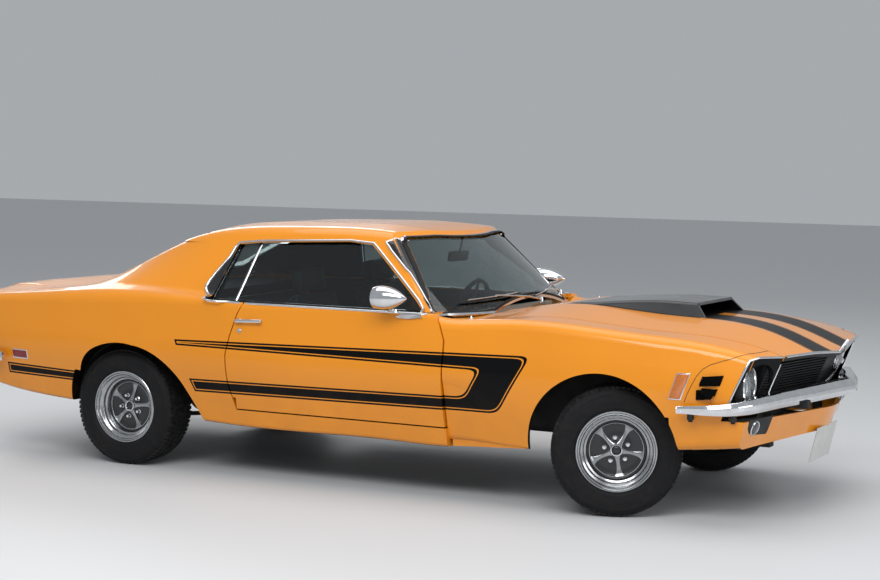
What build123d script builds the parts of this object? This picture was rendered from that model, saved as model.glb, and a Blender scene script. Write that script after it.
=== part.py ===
from build123d import *
import math
import os

# A two-door muscle car with a notchback roof, in millimetres. +X is forwards, +Y is the car's left, +Z is up.
# Places are given from the middle of the wheelbase. Finished pieces are moved forward a little, so that the
# origin of the whole lies on the ground below the middle of the car's length.

# Driving dimensions
WHEELBASE = 2743
TRACK = 1486
TYRE_R = 308
TYRE_W = 216
RIM_R = 191
RIM_W = 196
BEAD_R = 178
STEER_AT_REST = 22
KINGPIN_Y = 680
GAP = 7
FIT = 0.3
SIDE_WALL = 110
PILLAR_WALL = 45
ROOF_WALL = 32
SHEET = 24
GLASS = 5
ARCH_R = 372
BELT_Z = 902
SILL_TOP = 350
SEAM_Z = 1188
DOOR_FRONT_X = 556
DOOR_HINGE_R = 8
TRUNK_FRONT_X = -1706
TRUNK_REAR_X = -2334
TRUNK_HALF_W = 590

MIDDLE = 70

AXLE_F = WHEELBASE / 2
AXLE_R = -WHEELBASE / 2
WHEEL_Y = TRACK / 2

os.makedirs("parts", exist_ok=True)


def keep(part, label):
    """Labels a finished piece, moves it to the car's origin and writes it to its own file."""
    part = part.moved(Location((MIDDLE, 0, 0)))
    part.label = label
    export_step(part, f"parts/{label}.step")


def keep_pair(left, name):
    """Keeps a left-hand piece, and its mirror image for the right-hand side."""
    keep(left, f"{name}_left")
    keep(mirror(left, about=Plane.XZ), f"{name}_right")


def side_prism(points, y0, y1):
    """A solid with an outline drawn from the side, (x, z), between two distances from the centreline."""
    with BuildPart() as prism:
        with BuildSketch(Plane.XZ.offset(-y1)):
            with BuildLine():
                Polyline(*points, close=True)
            make_face()
        extrude(amount=y1 - y0)
    return prism.part


def plan_prism(points, z0, z1):
    """A solid with an outline drawn from above, (x, y)."""
    with BuildPart() as prism:
        with BuildSketch(Plane.XY.offset(z0)):
            with BuildLine():
                Polyline(*points, close=True)
            make_face()
        extrude(amount=z1 - z0)
    return prism.part


def cross_prism(points, x0, x1):
    """A solid with an outline drawn from behind, (y, z)."""
    with BuildPart() as prism:
        with BuildSketch(Plane.YZ.offset(x0)):
            with BuildLine():
                Polyline(*points, close=True)
            make_face()
        extrude(amount=x1 - x0)
    return prism.part


def block(x0, x1, y0, y1, z0, z1):
    """A plain block between these limits."""
    return plan_prism([(x0, y0), (x1, y0), (x1, y1), (x0, y1)], z0, z1)


def rod(start, end, radius):
    """A round bar between two points."""
    a, b = Vector(*start), Vector(*end)
    with BuildPart() as bar:
        with BuildSketch(Plane(origin=a, z_dir=(b - a).normalized())):
            Circle(radius)
        extrude(amount=(b - a).length)
    return bar.part


def fuse(*parts):
    """Joins solids that touch or cross into one."""
    with BuildPart() as whole:
        for part in parts:
            add(part)
    return whole.part


def cut(part, *tools):
    """Takes tools away from a part."""
    with BuildPart() as rest:
        add(part)
        for tool in tools:
            add(tool, mode=Mode.SUBTRACT)
    return rest.part


def common(part, tool):
    """What two solids share."""
    with BuildPart() as shared:
        add(part)
        add(tool, mode=Mode.INTERSECT)
    return shared.part


def both_sides(half):
    """A left half and its mirror image as one solid."""
    with BuildPart() as whole:
        add(half)
        mirror(about=Plane.XZ)
    return whole.part


def fitted(corners):
    """Corner radii, limited so that neighbouring fillets leave a straight between them."""
    n = len(corners)
    turn = [0.0] * n
    reach = [0.0] * n
    for i in range(1, n - 1):
        (a, b, _), (c, d, r), (e, f, _) = corners[i - 1], corners[i], corners[i + 1]
        t = math.atan2(f - d, e - c) - math.atan2(d - b, c - a)
        t = abs((t + math.pi) % (2 * math.pi) - math.pi)
        turn[i] = max(math.tan(t / 2), 1e-4)
        reach[i] = r * turn[i]
    for i in range(n - 1):
        room = 0.9 * math.dist(corners[i][:2], corners[i + 1][:2])
        need = reach[i] + reach[i + 1]
        if need > room:
            reach[i] *= room / need
            reach[i + 1] *= room / need
    return [reach[i] / turn[i] for i in range(1, n - 1)]


def half_loft(rows):
    """The left half of a body skin from sections along the car: x, then corners (y, z, radius)."""
    with BuildPart() as body:
        for x, corners in rows:
            with BuildSketch(Plane.YZ.offset(x)):
                with BuildLine():
                    top = FilletPolyline(*[(y, z) for y, z, r in corners], radius=fitted(corners))
                    Line(top @ 1, top @ 0)
                make_face()
        loft()
    return body.part


# The skin of the cabin and tail, one half section per row: x, bottom edge, widest point, shoulder, foot of the
# glass or sail panel, roof rail and crown, each (y, z, corner radius).
CABIN = [
    (600, (842, 262, 25), (925, 600, 400), (865, 913, 40), (806, 913, 12), (572, 1210, 80), (310, 1220, 300)),
    (250, (842, 262, 25), (927, 600, 400), (866, 913, 40), (806, 913, 12), (592, 1256, 80), (320, 1268, 300)),
    (-150, (842, 262, 25), (927, 600, 400), (868, 913, 42), (806, 913, 14), (600, 1288, 85), (330, 1306, 300)),
    (-600, (842, 262, 25), (927, 602, 400), (872, 912, 48), (806, 916, 18), (602, 1281, 90), (330, 1300, 300)),
    (-1000, (842, 280, 25), (928, 610, 400), (884, 915, 64), (800, 942, 50), (592, 1240, 90), (330, 1268, 300)),
    (-1350, (842, 300, 25), (928, 620, 400), (892, 916, 84), (786, 958, 90), (585, 1106, 110), (330, 1124, 300)),
    (-1700, (838, 318, 25), (922, 620, 400), (882, 902, 80), (780, 932, 120), (610, 946, 150), (300, 950, 300)),
    (-2050, (830, 345, 25), (905, 615, 400), (862, 878, 60), (770, 896, 120), (600, 903, 150), (300, 907, 300)),
    (-2400, (812, 420, 25), (872, 610, 400), (830, 850, 50), (750, 866, 120), (590, 871, 150), (300, 875, 300)),
]

# The skin of the front clip: x, bottom edge, widest point, shoulder, seam of the hood and crown.
CLIP = [
    (440, (842, 262, 25), (926, 600, 700), (866, 908, 50), (700, 904, 300), (330, 944, 600)),
    (900, (842, 285, 25), (924, 600, 700), (868, 895, 60), (690, 900, 300), (330, 938, 600)),
    (1371, (846, 300, 40), (914, 600, 700), (862, 873, 62), (680, 882, 300), (330, 922, 600)),
    (1750, (838, 336, 60), (896, 596, 600), (844, 843, 62), (660, 859, 300), (330, 902, 500)),
    (2000, (824, 362, 60), (876, 592, 600), (824, 802, 58), (645, 824, 300), (320, 857, 500)),
    (2200, (800, 385, 60), (850, 590, 400), (802, 744, 52), (630, 762, 300), (310, 777, 500)),
    (2340, (780, 400, 60), (830, 585, 300), (784, 704, 50), (620, 722, 300), (300, 735, 500)),
]


def closed(x, corners, foot=None):
    """One half section, closed at the centreline."""
    return (x, [(0, corners[0][1] if foot is None else foot, 0), *corners, (0, corners[-1][1], 0)])


def down_to(a, b, z):
    """Where the line through two corners reaches a height."""
    t = (z - a[1]) / (b[1] - a[1])
    return (a[0] + t * (b[0] - a[0]), z)


LOWER_Z = 840
side_skin = half_loft([closed(x, [low, wide, shoulder]) for x, low, wide, shoulder, foot, rail, crown in CABIN])
top_skin = half_loft([
    closed(x, [(*down_to(foot, rail, LOWER_Z), 5), rail, crown])
    for x, low, wide, shoulder, foot, rail, crown in CABIN[:7]
])
rear_skin = half_loft([closed(x, row) for x, *row in CABIN[2:]])
side_hollow = half_loft([
    closed(x, [(low[0] - SIDE_WALL, 0, 5), (wide[0] - SIDE_WALL, wide[1], 200), (foot[0] - PILLAR_WALL, 1100, 5)])
    for x, low, wide, shoulder, foot, rail, crown in CABIN
])
top_hollow = half_loft([
    closed(x, [
        (down_to(foot, rail, LOWER_Z - 60)[0] - PILLAR_WALL, LOWER_Z - 60, 5),
        (rail[0] - PILLAR_WALL, rail[1] - ROOF_WALL, 60), (crown[0], crown[1] - ROOF_WALL, 250),
    ])
    for x, low, wide, shoulder, foot, rail, crown in CABIN[:7]
])
rear_hollow = half_loft([
    closed(x, [
        (low[0] - SIDE_WALL, 0, 5), (wide[0] - SIDE_WALL, wide[1], 200),
        (foot[0] - PILLAR_WALL, foot[1] - ROOF_WALL - 20, 10),
        (rail[0] - PILLAR_WALL, rail[1] - ROOF_WALL, 60), (crown[0], crown[1] - ROOF_WALL, 250),
    ])
    for x, low, wide, shoulder, foot, rail, crown in CABIN[2:]
])
clip_skin = half_loft([closed(x, row) for x, *row in CLIP])
clip_hollow = half_loft([
    closed(x, [
        (*down_to((low[0] - SHEET, low[1]), (wide[0] - SHEET, wide[1]), 0), 5),
        (wide[0] - SHEET, wide[1], 300), (shoulder[0] - SHEET, shoulder[1] - SHEET, 30),
        (seam[0], seam[1] - SHEET, 200), (crown[0], crown[1] - SHEET, 400),
    ])
    for x, low, wide, shoulder, seam, crown in CLIP
])

# Lines on the body, drawn from the side as (x, z)
DOOR_FRONT = [(DOOR_FRONT_X, 200), (DOOR_FRONT_X, 710), (553, 779), (524, 848), (490, 896), (470, 960)]
DOOR_REAR = [(-639, 200), (-639, 342), (-677, 483), (-683, 632), (-665, 732), (-633, 845), (-606, 893), (-580, 960)]
SIDE_WINDOW = [(398, BELT_Z), (345, 950), (14, 1211), (-120, 1221), (-640, 1200), (-775, 1186), (-838, BELT_Z)]
NOSE_SEAM = [(1740, 495), (1754, 551), (1792, 652), (1841, 732), (1912, 774), (2000, 795), (2110, 815), (2150, 960)]
VALANCE_Z = 495
# Lines on the body, drawn from above as (x, y)
HOOD_SIDE = [(440, 700), (1000, 690), (1500, 676), (1830, 655), (2095, 628), (2400, 600)]
NOSE_LINE = [(2262, 0), (2158, 620), (2068, 805), (2046, 900)]
NOSE_Z = 780
NOSE_LEAN = (60, 0, 150)
SCREEN_FOOT_X = 640
SCREEN_RISE = (-390, 0, 346)
SCREEN_R = 1456
SCREEN_HALF = 745


def shift(points, dx=0, dy=0):
    """A line moved bodily."""
    return [(x + dx, y + dy) for x, y in points]


door_line_front = shift(DOOR_FRONT, -GAP / 2)
door_line_rear = shift(DOOR_REAR, GAP / 2)
body_line_front = shift(DOOR_FRONT, GAP / 2)
body_line_rear = shift(DOOR_REAR, -GAP / 2)


def arch(x, z, points, y0, y1):
    """A wheel opening from arcs through the given points, open at the foot."""
    with BuildPart() as opening:
        with BuildSketch(Plane.XZ.offset(-y1)):
            with BuildLine() as line:
                for i in range(0, len(points) - 2, 2):
                    ThreePointArc(points[i], points[i + 1], points[i + 2])
                Polyline(points[-1], (points[-1][0], 0), (points[0][0], 0), points[0])
            make_face()
        extrude(amount=y1 - y0)
    return opening.part


rear_arch = arch(AXLE_R, TYRE_R, [
    (-838, 230), (-893, 345), (-954, 450), (-1092, 590), (-1271, 650), (-1400, 654), (-1520, 619),
    (-1604, 540), (-1628, 433),
], 600, 1000)
front_arch = arch(AXLE_F, TYRE_R, [
    (AXLE_F - 8 + ARCH_R, 303), (AXLE_F - 8, 303 + ARCH_R), (AXLE_F - 8 - ARCH_R, 303),
], 600, 1000)
rear_house = cut(rod((AXLE_R, 585, TYRE_R), (AXLE_R, 888, TYRE_R), TYRE_R + 34))

# The windscreen's surface: an arc seen from above, carried up and back along the pillars
def screen_strip(front, depth, half=SCREEN_HALF):
    """A strip this deep behind a face that lies this far ahead of the windscreen's seat."""
    drop = SCREEN_R - math.sqrt(SCREEN_R**2 - half**2)
    foot = 60
    x = SCREEN_FOOT_X + front - foot * SCREEN_RISE[0] / SCREEN_RISE[2]
    side = 900
    with BuildPart() as strip:
        with BuildSketch(Plane.XY.offset(BELT_Z - foot)):
            with BuildLine():
                ThreePointArc((x - drop, -half), (x, 0), (x - drop, half))
                Polyline((x - drop, half), (x - drop - 14, side), (x - drop - depth - 14, side), (x - drop - depth, half))
                ThreePointArc((x - drop - depth, half), (x - depth, 0), (x - drop - depth, -half))
                Polyline((x - drop - depth, -half), (x - drop - depth - 14, -side), (x - drop - 14, -side), (x - drop, -half))
            make_face()
        extrude(amount=900, dir=SCREEN_RISE)
    return strip.part


screen_ahead = screen_strip(1200, 1200)

# Body shell, left half
pillar_window = side_prism(SIDE_WINDOW, 500, 1000)
DECK_X = TRUNK_FRONT_X + 12 + GAP
pocket_line = [(-1010, 1245), (-1560, 950), (-1570, 936), (DECK_X, 936), (DECK_X, 1400), (-1010, 1400)]
pocket = side_prism(pocket_line, -TRUNK_HALF_W + 15, TRUNK_HALF_W - 15)
lid_space = block(-2341, DECK_X, -TRUNK_HALF_W - GAP, TRUNK_HALF_W + GAP, 700, 1400)


# Roof: the panel, its rails and the pillars beside the windscreen
roof_zone = side_prism(
    [(-1500, SEAM_Z), (-100, SEAM_Z), (-100, BELT_Z), (700, BELT_Z), (700, 1400), (-1500, 1400)], -10, 1000
)
roof_half = common(cut(top_skin, top_hollow), roof_zone)
for tool in (pillar_window, screen_ahead, pocket):
    roof_half = cut(roof_half, tool)
roof = both_sides(roof_half)
keep(roof, "roof")

# Quarter panels: the rear flank with the wheel opening, and the sail panel up to the roof
quarter_zone = side_prism(
    body_line_rear[1:7] + [(-577, SEAM_Z), (-2600, SEAM_Z), (-2600, 100), (body_line_rear[1][0], 100)], 500, 1000
)
quarter = common(cut(rear_skin, rear_hollow), quarter_zone)
tail_space = block(-2600, -2341, 0, TRUNK_HALF_W + GAP, 700, 1400)
for tool in (pillar_window, rear_arch, rear_house, pocket, lid_space, tail_space):
    quarter = cut(quarter, tool)
keep_pair(quarter, "quarter_panel")

# Doors
door_zone = side_prism(
    [(x, z) for x, z in door_line_front[1:5]]
    + [(door_line_front[4][0] - 5, BELT_Z), (door_line_rear[6][0], BELT_Z)]
    + door_line_rear[2:6][::-1]
    + [(door_line_rear[1][0] - 4, SILL_TOP + GAP), (door_line_front[1][0], SILL_TOP + GAP)],
    600, 1000,
)
door = cut(
    common(side_skin, door_zone), side_hollow,
    block(330, 600, 600, 812, 0, 1400),
    block(-760, -640, 600, 880, 0, 1400),
)
keep_pair(door, "door")

# Door glass and quarter glass stand in the side window, a little inside the skin
glass_outer = half_loft([
    closed(x, [(down_to(foot, rail, LOWER_Z)[0] - 14, LOWER_Z, 5), (rail[0] - 14, rail[1] - 6, rail[2]), (crown[0], crown[1] - 14, crown[2])])
    for x, low, wide, shoulder, foot, rail, crown in CABIN[:7]
])
glass_inner = half_loft([
    closed(x, [(down_to(foot, rail, LOWER_Z)[0] - 14 - GLASS, LOWER_Z - 40, 5), (rail[0] - 14 - GLASS, rail[1] - 6 - GLASS, rail[2]), (crown[0], crown[1] - 14 - GLASS, crown[2])])
    for x, low, wide, shoulder, foot, rail, crown in CABIN[:7]
])
glass_skin = cut(glass_outer, glass_inner)
door_pane_line = [(398 - 12, BELT_Z), (345 - 12, 944), (14, 1204), (-120, 1213), (-646, 1192), (-693, BELT_Z)]
rear_pane_line = [(-703, BELT_Z), (-658, 1196), (-774, 1184), (-837, BELT_Z)]
door_glass = common(glass_skin, side_prism(door_pane_line, 500, 1000))
quarter_glass = common(glass_skin, side_prism(rear_pane_line, 500, 1000))
keep_pair(door_glass, "door_glass")
keep_pair(quarter_glass, "quarter_glass")

# Windscreen: it stands on the pillars' front faces, inside a trim frame
screen_inset = half_loft([
    closed(x, [(down_to(foot, rail, LOWER_Z)[0] - 20, LOWER_Z, 5), (rail[0] - 20, rail[1] - 20, rail[2]), (crown[0], crown[1] - 20, crown[2])])
    for x, low, wide, shoulder, foot, rail, crown in CABIN[:7]
])
COWL_Z = 880
screen_sheet = common(screen_strip(GLASS, GLASS), block(-500, 900, -5, 1000, COWL_Z, 1500))
windshield_half = common(screen_sheet, screen_inset)
keep(both_sides(windshield_half), "windshield")

# Rear window: it lies on the sail panels' ledges, with the deck panel behind it
side_in = TRUNK_HALF_W - 15
keep(side_prism([(-1012, 1244), (-1558, 951.1), (-1558, 957.1), (-1012, 1250)], -side_in, side_in), "rear_window")
keep(
    side_prism([(-1560, 950), (-1570, 936), (DECK_X, 936), (DECK_X, 950.5), (-1560, 957)], -side_in, side_in),
    "deck_panel",
)

# Front fenders
fender_zone = side_prism(
    body_line_front[1:5] + [(474, 1000), NOSE_SEAM[-1]] + NOSE_SEAM[:-1][::-1]
    + [(1300, VALANCE_Z), (1200, 100), (body_line_front[1][0], 100)],
    0, 1000,
)
hood_plan = [(440, 0)] + HOOD_SIDE + [(2400, 0)]
fender = cut(common(cut(clip_skin, clip_hollow), fender_zone), plan_prism(
    [(400, -10)] + shift(HOOD_SIDE, 0, GAP / 2) + [(2500, -10)], 700, 1400))
fender = cut(fender, front_arch, block(1500, 2400, 0, 1000, 0, VALANCE_Z))
keep_pair(fender, "fender")

# Hood: between the fenders, from the cowl to the lip over the grille
def nose_cutter(ahead):
    """Everything ahead of the nose's V-shaped face, moved ahead by this much."""
    drop = 400
    dx = ahead - drop * NOSE_LEAN[0] / NOSE_LEAN[2]
    left = [(x + dx, y) for x, y in NOSE_LINE]
    right = [(x, -y) for x, y in left[:0:-1]]
    with BuildPart() as tool:
        with BuildSketch(Plane.XY.offset(NOSE_Z - drop)):
            with BuildLine():
                front = FilletPolyline(*right, *left, radius=(60, 60, 500, 60, 60))
                Polyline(front @ 1, (3000, left[-1][1]), (3000, right[0][1]), front @ 0)
            make_face()
        extrude(amount=700 * math.hypot(*NOSE_LEAN) / NOSE_LEAN[2], dir=NOSE_LEAN)
    return tool.part


nose_ahead = nose_cutter(0)
HOOD_AXIS_X = 512
HOOD_AXIS_Z = 888
hood_half = cut(
    common(cut(clip_skin, clip_hollow), plan_prism([(400, -5)] + shift(HOOD_SIDE, 0, -GAP / 2) + [(2500, -5)], 600, 1400)),
    nose_ahead,
)
with BuildPart() as cowl_cut:
    with BuildSketch(Plane.XY.offset(700)):
        with BuildLine():
            y = SCREEN_HALF
            x = SCREEN_FOOT_X + 45
            drop = SCREEN_R - math.sqrt(SCREEN_R**2 - y**2)
            ThreePointArc((x - drop, -y), (x, 0), (x - drop, y))
            Polyline((x - drop, y), (100, y), (100, -y), (x - drop, -y))
        make_face()
    extrude(amount=600)
hood_half = cut(hood_half, cowl_cut.part)
hood = both_sides(hood_half)
keep(hood, "hood")

# Bonnet scoop, open to the front
SCOOP = [(962, 318, 300, 946), (1120, 316, 290, 958), (1330, 312, 270, 974), (1500, 310, 262, 977), (1672, 306, 258, 974)]


def scoop_loft(inset, lift):
    """The scoop's outside, or its duct when drawn in."""
    with BuildPart() as form:
        for x, foot_w, top_w, z in SCOOP:
            with BuildSketch(Plane.YZ.offset(x)):
                with BuildLine():
                    f, t, h = foot_w - inset, top_w - inset, z - lift
                    FilletPolyline(
                        (-f, 850), (-f, 885), (-t, h), (t, h), (f, 885), (f, 850), radius=[8, 24, 24, 8]
                    )
                    Line((f, 850), (-f, 850))
                make_face()
        loft()
    return form.part


scoop_mouth = side_prism([(1672, 1100), (1672, 975), (1600, 800), (1800, 800), (1800, 1100)], -500, 500)
duct = common(scoop_loft(14, 13), block(1380, 1900, -500, 500, 800, 1100))
scoop = cut(scoop_loft(0, 0), fuse(clip_skin, mirror(clip_skin, about=Plane.XZ)), duct, scoop_mouth)
keep(scoop, "hood_scoop")

# Nose caps with their two gills and the headlamp openings
LAMP_X, LAMP_Y, LAMP_Z, LAMP_R = 2018, 733, 648, 89
nose_back = nose_cutter(-22)
nose_zone = side_prism([NOSE_SEAM[-1]] + NOSE_SEAM[:-1][::-1] + [(2500, VALANCE_Z), (2500, 960)], 0, 1000)
cap = cut(common(clip_skin, nose_zone), nose_ahead, plan_prism([(400, -10)] + shift(HOOD_SIDE, 0, GAP / 2) + [(2500, -10)], 300, 1400))
cap_inside = cut(common(clip_hollow, block(1500, 2400, 0, 1000, 300, 1000)), nose_back)
cap = cut(cap, cap_inside, rod((1800, LAMP_Y, LAMP_Z), (2300, LAMP_Y, LAMP_Z), LAMP_R + 12))
GILLS = [(652, 693), (603, 640)]
for z0, z1 in GILLS:
    cap = cut(cap, side_prism([(1838, z0), (1852, z1), (1925, z1 - 2), (1915, z0 + 4)], 700, 1000))
keep_pair(cap, "nose_cap")

with BuildPart() as lamp:
    with BuildSketch(Plane.XY):
        with BuildLine():
            Polyline((LAMP_X - 95, 0), (LAMP_X + 22, 0))
            ThreePointArc((LAMP_X + 22, 0), (LAMP_X + 14, LAMP_R / 2), (LAMP_X - 4, LAMP_R - 6))
            Polyline((LAMP_X - 4, LAMP_R - 6), (LAMP_X + 6, LAMP_R - 6), (LAMP_X + 6, LAMP_R + 11.7), (LAMP_X - 60, LAMP_R + 11.7), (LAMP_X - 95, 40), (LAMP_X - 95, 0))
        make_face()
    revolve(axis=Axis.X)
headlamp = lamp.part.moved(Location((0, LAMP_Y, LAMP_Z)))
keep_pair(headlamp, "headlamp")


def nose_x(y, z):
    """Where the nose's face stands at this place, ahead of the grille."""
    (x0, y0), (x1, y1) = NOSE_LINE[:2]
    return x0 + (x1 - x0) * abs(y) / y1 - (NOSE_Z - z) * NOSE_LEAN[0] / NOSE_LEAN[2]


# Grille: bars in a V between end posts, set back under the lip
GRILLE_BARS = 11
GRILLE_W = 604
GRILLE_Z0, GRILLE_Z1 = 592, 735
GRILLE_BACK = 60


def vee(z, back, deep, w=GRILLE_W):
    """A V-shaped outline from above that follows the nose at this height."""
    a, b = nose_x(0, z) - back, nose_x(w, z) - back
    return [(a, 0), (b, w), (b - deep, w), (a - deep, 0), (b - deep, -w), (b, -w)]


grille_parts = []
for i in range(GRILLE_BARS):
    z = GRILLE_Z0 + (GRILLE_Z1 - GRILLE_Z0) * (i + 0.5) / GRILLE_BARS
    grille_parts.append(plan_prism(vee(z, GRILLE_BACK, 30), z - 2.5, z + 2.5))
grille_parts.append(plan_prism(vee(GRILLE_Z0, GRILLE_BACK - 20, 90), GRILLE_Z0 - 12, GRILLE_Z0))
grille_parts.append(plan_prism(vee(GRILLE_Z0, GRILLE_BACK + 24, 8), GRILLE_Z0 - 12, GRILLE_Z1))
grille_parts.append(common(
    fuse(*[plan_prism(vee(z, GRILLE_BACK, 44), z, z + 6) for z in range(GRILLE_Z0 - 6, GRILLE_Z1, 6)]),
    fuse(block(1700, 2400, GRILLE_W - 8, GRILLE_W, 500, 900), block(1700, 2400, -GRILLE_W, 8 - GRILLE_W, 500, 900),
         block(1700, 2400, -4, 4, 500, 900)),
))
keep(fuse(*grille_parts), "grille")


def blade(table):
    """A bumper bar from sections along its length: x, y, z, heading, height, depth and corner radius."""
    with BuildPart() as half:
        for x, y, z, turn, tall, deep, r in table:
            t = math.radians(turn)
            plane = Plane(origin=(x, y, z), x_dir=(math.cos(t), math.sin(t), 0), z_dir=(-math.sin(t), math.cos(t), 0))
            with BuildSketch(plane):
                with BuildLine():
                    FilletPolyline(
                        (-deep, tall / 2), (-deep * 0.35, tall / 2), (0, tall * 0.16), (0, -tall * 0.16),
                        (-deep * 0.35, -tall / 2), (-deep, -tall / 2), radius=[r] * 4,
                    )
                    Line((-deep, -tall / 2), (-deep, tall / 2))
                make_face()
        loft()
    return half.part


FRONT_BUMPER = [
    (2322, 0, 592, 0, 76, 60, 10), (2268, 240, 588, 14, 76, 60, 10), (2180, 520, 578, 18, 74, 58, 10),
    (2104, 760, 566, 26, 70, 50, 9), (2030, 880, 556, 56, 62, 36, 7), (1930, 925, 548, 80, 50, 22, 4),
    (1755, 935, 540, 88, 34, 14, 2.5),
]
REAR_BUMPER = [
    (-2462, 0, 545, 180, 84, 60, 10), (-2462, 200, 545, 180, 84, 60, 10), (-2460, 400, 545, 179, 84, 60, 10),
    (-2455, 600, 545, 176, 83, 58, 10), (-2438, 770, 545, 164, 80, 50, 9), (-2400, 868, 544, 135, 74, 40, 8),
    (-2340, 914, 543, 110, 66, 28, 6), (-2240, 932, 541, 97, 56, 18, 4), (-2118, 938, 538, 93, 46, 12, 2.5),
]


def whole_blade(table):
    """A bumper bar from its left half's sections, carried on across the car."""
    return blade([(x, -y, z, -turn, *size) for x, y, z, turn, *size in table[:0:-1]] + table)


front_bumper = whole_blade(FRONT_BUMPER)
keep(front_bumper, "front_bumper")
keep(cut(whole_blade(REAR_BUMPER), rear_skin, mirror(rear_skin, about=Plane.XZ)), "rear_bumper")

# Front valance, with a slot for the parking lamps
valance_zone = side_prism([(1700, VALANCE_Z), (2400, VALANCE_Z), (2400, 200), (1700, 200)], 0, 1000)
VALANCE_FACE = [(2235, 0), (2090, 620), (2040, 900)]
VALANCE_LEAN = (50, 0, 165)
VALANCE_FOOT = 330


def ahead_of_valance(back):
    """A block ahead of the valance's V-shaped face, which leans back towards its foot, set back by this much."""
    (x0, y0), (x1, y1), (x2, y2) = [(x - back - VALANCE_LEAN[0], y) for x, y in VALANCE_FACE]
    with BuildPart() as tool:
        with BuildSketch(Plane.XY.offset(VALANCE_FOOT)):
            with BuildLine():
                front = FilletPolyline((x2, -y2), (x1, -y1), (x0, y0), (x1, y1), (x2, y2), radius=(200, 500, 200))
                Polyline(front @ 1, (3000, y2), (3000, -y2), front @ 0)
            make_face()
        extrude(amount=180 * math.hypot(*VALANCE_LEAN) / VALANCE_LEAN[2], dir=VALANCE_LEAN)
    return tool.part


valance_behind = cut(common(clip_hollow, block(1600, 2400, 0, 1000, 100, 1000)), ahead_of_valance(20))
valance = common(clip_skin, valance_zone)
for tool in (ahead_of_valance(0), valance_behind, front_arch):
    valance = cut(valance, tool)
keep(both_sides(valance), "front_valance")

# Trunk lid: its nose turns about the hinge line
LID_AXIS_Z = 938
LID_NOSE_R = 12
lid_zone = fuse(
    block(TRUNK_REAR_X, TRUNK_FRONT_X, 0, TRUNK_HALF_W, 700, 1100),
    common(rod((TRUNK_FRONT_X, -1, LID_AXIS_Z), (TRUNK_FRONT_X, TRUNK_HALF_W, LID_AXIS_Z), LID_NOSE_R),
           block(TRUNK_FRONT_X - 1, 0, 0, TRUNK_HALF_W, 700, 1100)),
)
lid_half = common(cut(rear_skin, rear_hollow), lid_zone)
keep(both_sides(lid_half), "trunk_lid")

# Tail panel, and the strip of deck behind the lid
TAIL_X = -2400
tail_half = fuse(
    common(common(rear_skin, rear_hollow), block(TAIL_X - 5, TAIL_X + 24, -5, 1000, 420, 900)),
    common(cut(rear_skin, rear_hollow), block(TAIL_X - 5, TRUNK_REAR_X - GAP, -5, TRUNK_HALF_W + GAP, 700, 1000)),
)
TAIL_LAMP_Y = [390, 480, 570]
lamp_w, lamp_z0, lamp_z1 = 58, 655, 765
for y in TAIL_LAMP_Y:
    tail_half = cut(tail_half, block(TAIL_X - 5, TAIL_X + 12, y - lamp_w / 2, y + lamp_w / 2, lamp_z0, lamp_z1))
tail_panel = both_sides(tail_half)
keep(tail_panel, "tail_panel")
with BuildPart() as tail_lamp:
    with BuildSketch(Plane.YZ.offset(TAIL_X + 12)):
        for y in TAIL_LAMP_Y:
            with Locations((y, (lamp_z0 + lamp_z1) / 2)):
                RectangleRounded(lamp_w - 2, lamp_z1 - lamp_z0 - 2, 10)
    extrude(amount=-22)
    with BuildSketch(Plane.YZ.offset(TAIL_X - 0.5)):
        with Locations((TAIL_LAMP_Y[1], (lamp_z0 + lamp_z1) / 2)):
            Rectangle(2 * (TAIL_LAMP_Y[1] - TAIL_LAMP_Y[0]), 10)
    extrude(amount=-4)
keep_pair(tail_lamp.part, "tail_lamp")

# Cowl, bulkhead and hinge pillars
cowl_half = fuse(
    common(
        cut(block(420, 700, -5, 700, COWL_Z - 14, COWL_Z), cut(block(0, 900, -5, 900, 800, 1000), cowl_cut.part)),
        block(420, 700, -5, 700, 800, 900),
    ),
    block(448, 462, -5, 800, 262, COWL_Z - 10),
    block(394, 462, 744, 805, SILL_TOP, BELT_Z),
    block(420, 462, 690, 760, COWL_Z - 14, BELT_Z),
)
cowl_half = cut(cowl_half, screen_sheet, block(440, 470, 764, 900, 0, SILL_TOP),
                cross_prism([(-10, 200), (-10, 400), (92, 390), (150, 262), (150, 200)], 400, 500))
keep(both_sides(cowl_half), "cowl_and_bulkhead")

# Floor with its tunnel and the sills
FLOOR_Z = 262
floor_w = 842 - SIDE_WALL
sill = cut(common(side_skin, block(body_line_rear[0][0], body_line_front[0][0], 600, 1000, 0, SILL_TOP)), side_hollow)
floor_half = fuse(
    sill,
    cross_prism([(-5, 400), (100, 390), (150, 274), (floor_w + 60, 274), (floor_w + 60, 262), (140, 262), (92, 378), (-5, 388)],
                body_line_rear[0][0], 448),
)
keep(both_sides(floor_half), "floor_and_sills")

# Rear floor: seat pan, kick-up over the axle, boot floor and wheel houses
house = cut(
    rod((AXLE_R, 575, TYRE_R), (AXLE_R, 800, TYRE_R), TYRE_R + 46),
    rod((AXLE_R, 585, TYRE_R), (AXLE_R, 900, TYRE_R), TYRE_R + 34),
)
house = cut(common(house, block(-1800, -900, 0, 1000, 400, 800)), cut(rear_skin, rear_hollow), rear_arch)
pan_x = body_line_rear[0][0]
rear_floor_half = fuse(
    side_prism([(pan_x, 262), (pan_x, 274), (-710, 274), (-770, 372), (-1000, 372), (-1060, 442), (TAIL_X + 24, 442),
                (TAIL_X + 24, 430), (-1054, 430), (-994, 360), (-764, 360), (-704, 262)], -5, 577),
    side_prism([(pan_x, 262), (pan_x, 274), (-710, 274), (-770, 372), (-850, 372), (-850, 360), (-764, 360), (-704, 262)], 570, 760),
    block(-1190, -1180, -5, 577, 430, 890),
    block(-1560, -1180, -5, 577, 880, 890),
)
tunnel_out = [(-5, 262), (-5, 400), (100, 390), (150, 262)]
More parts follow.
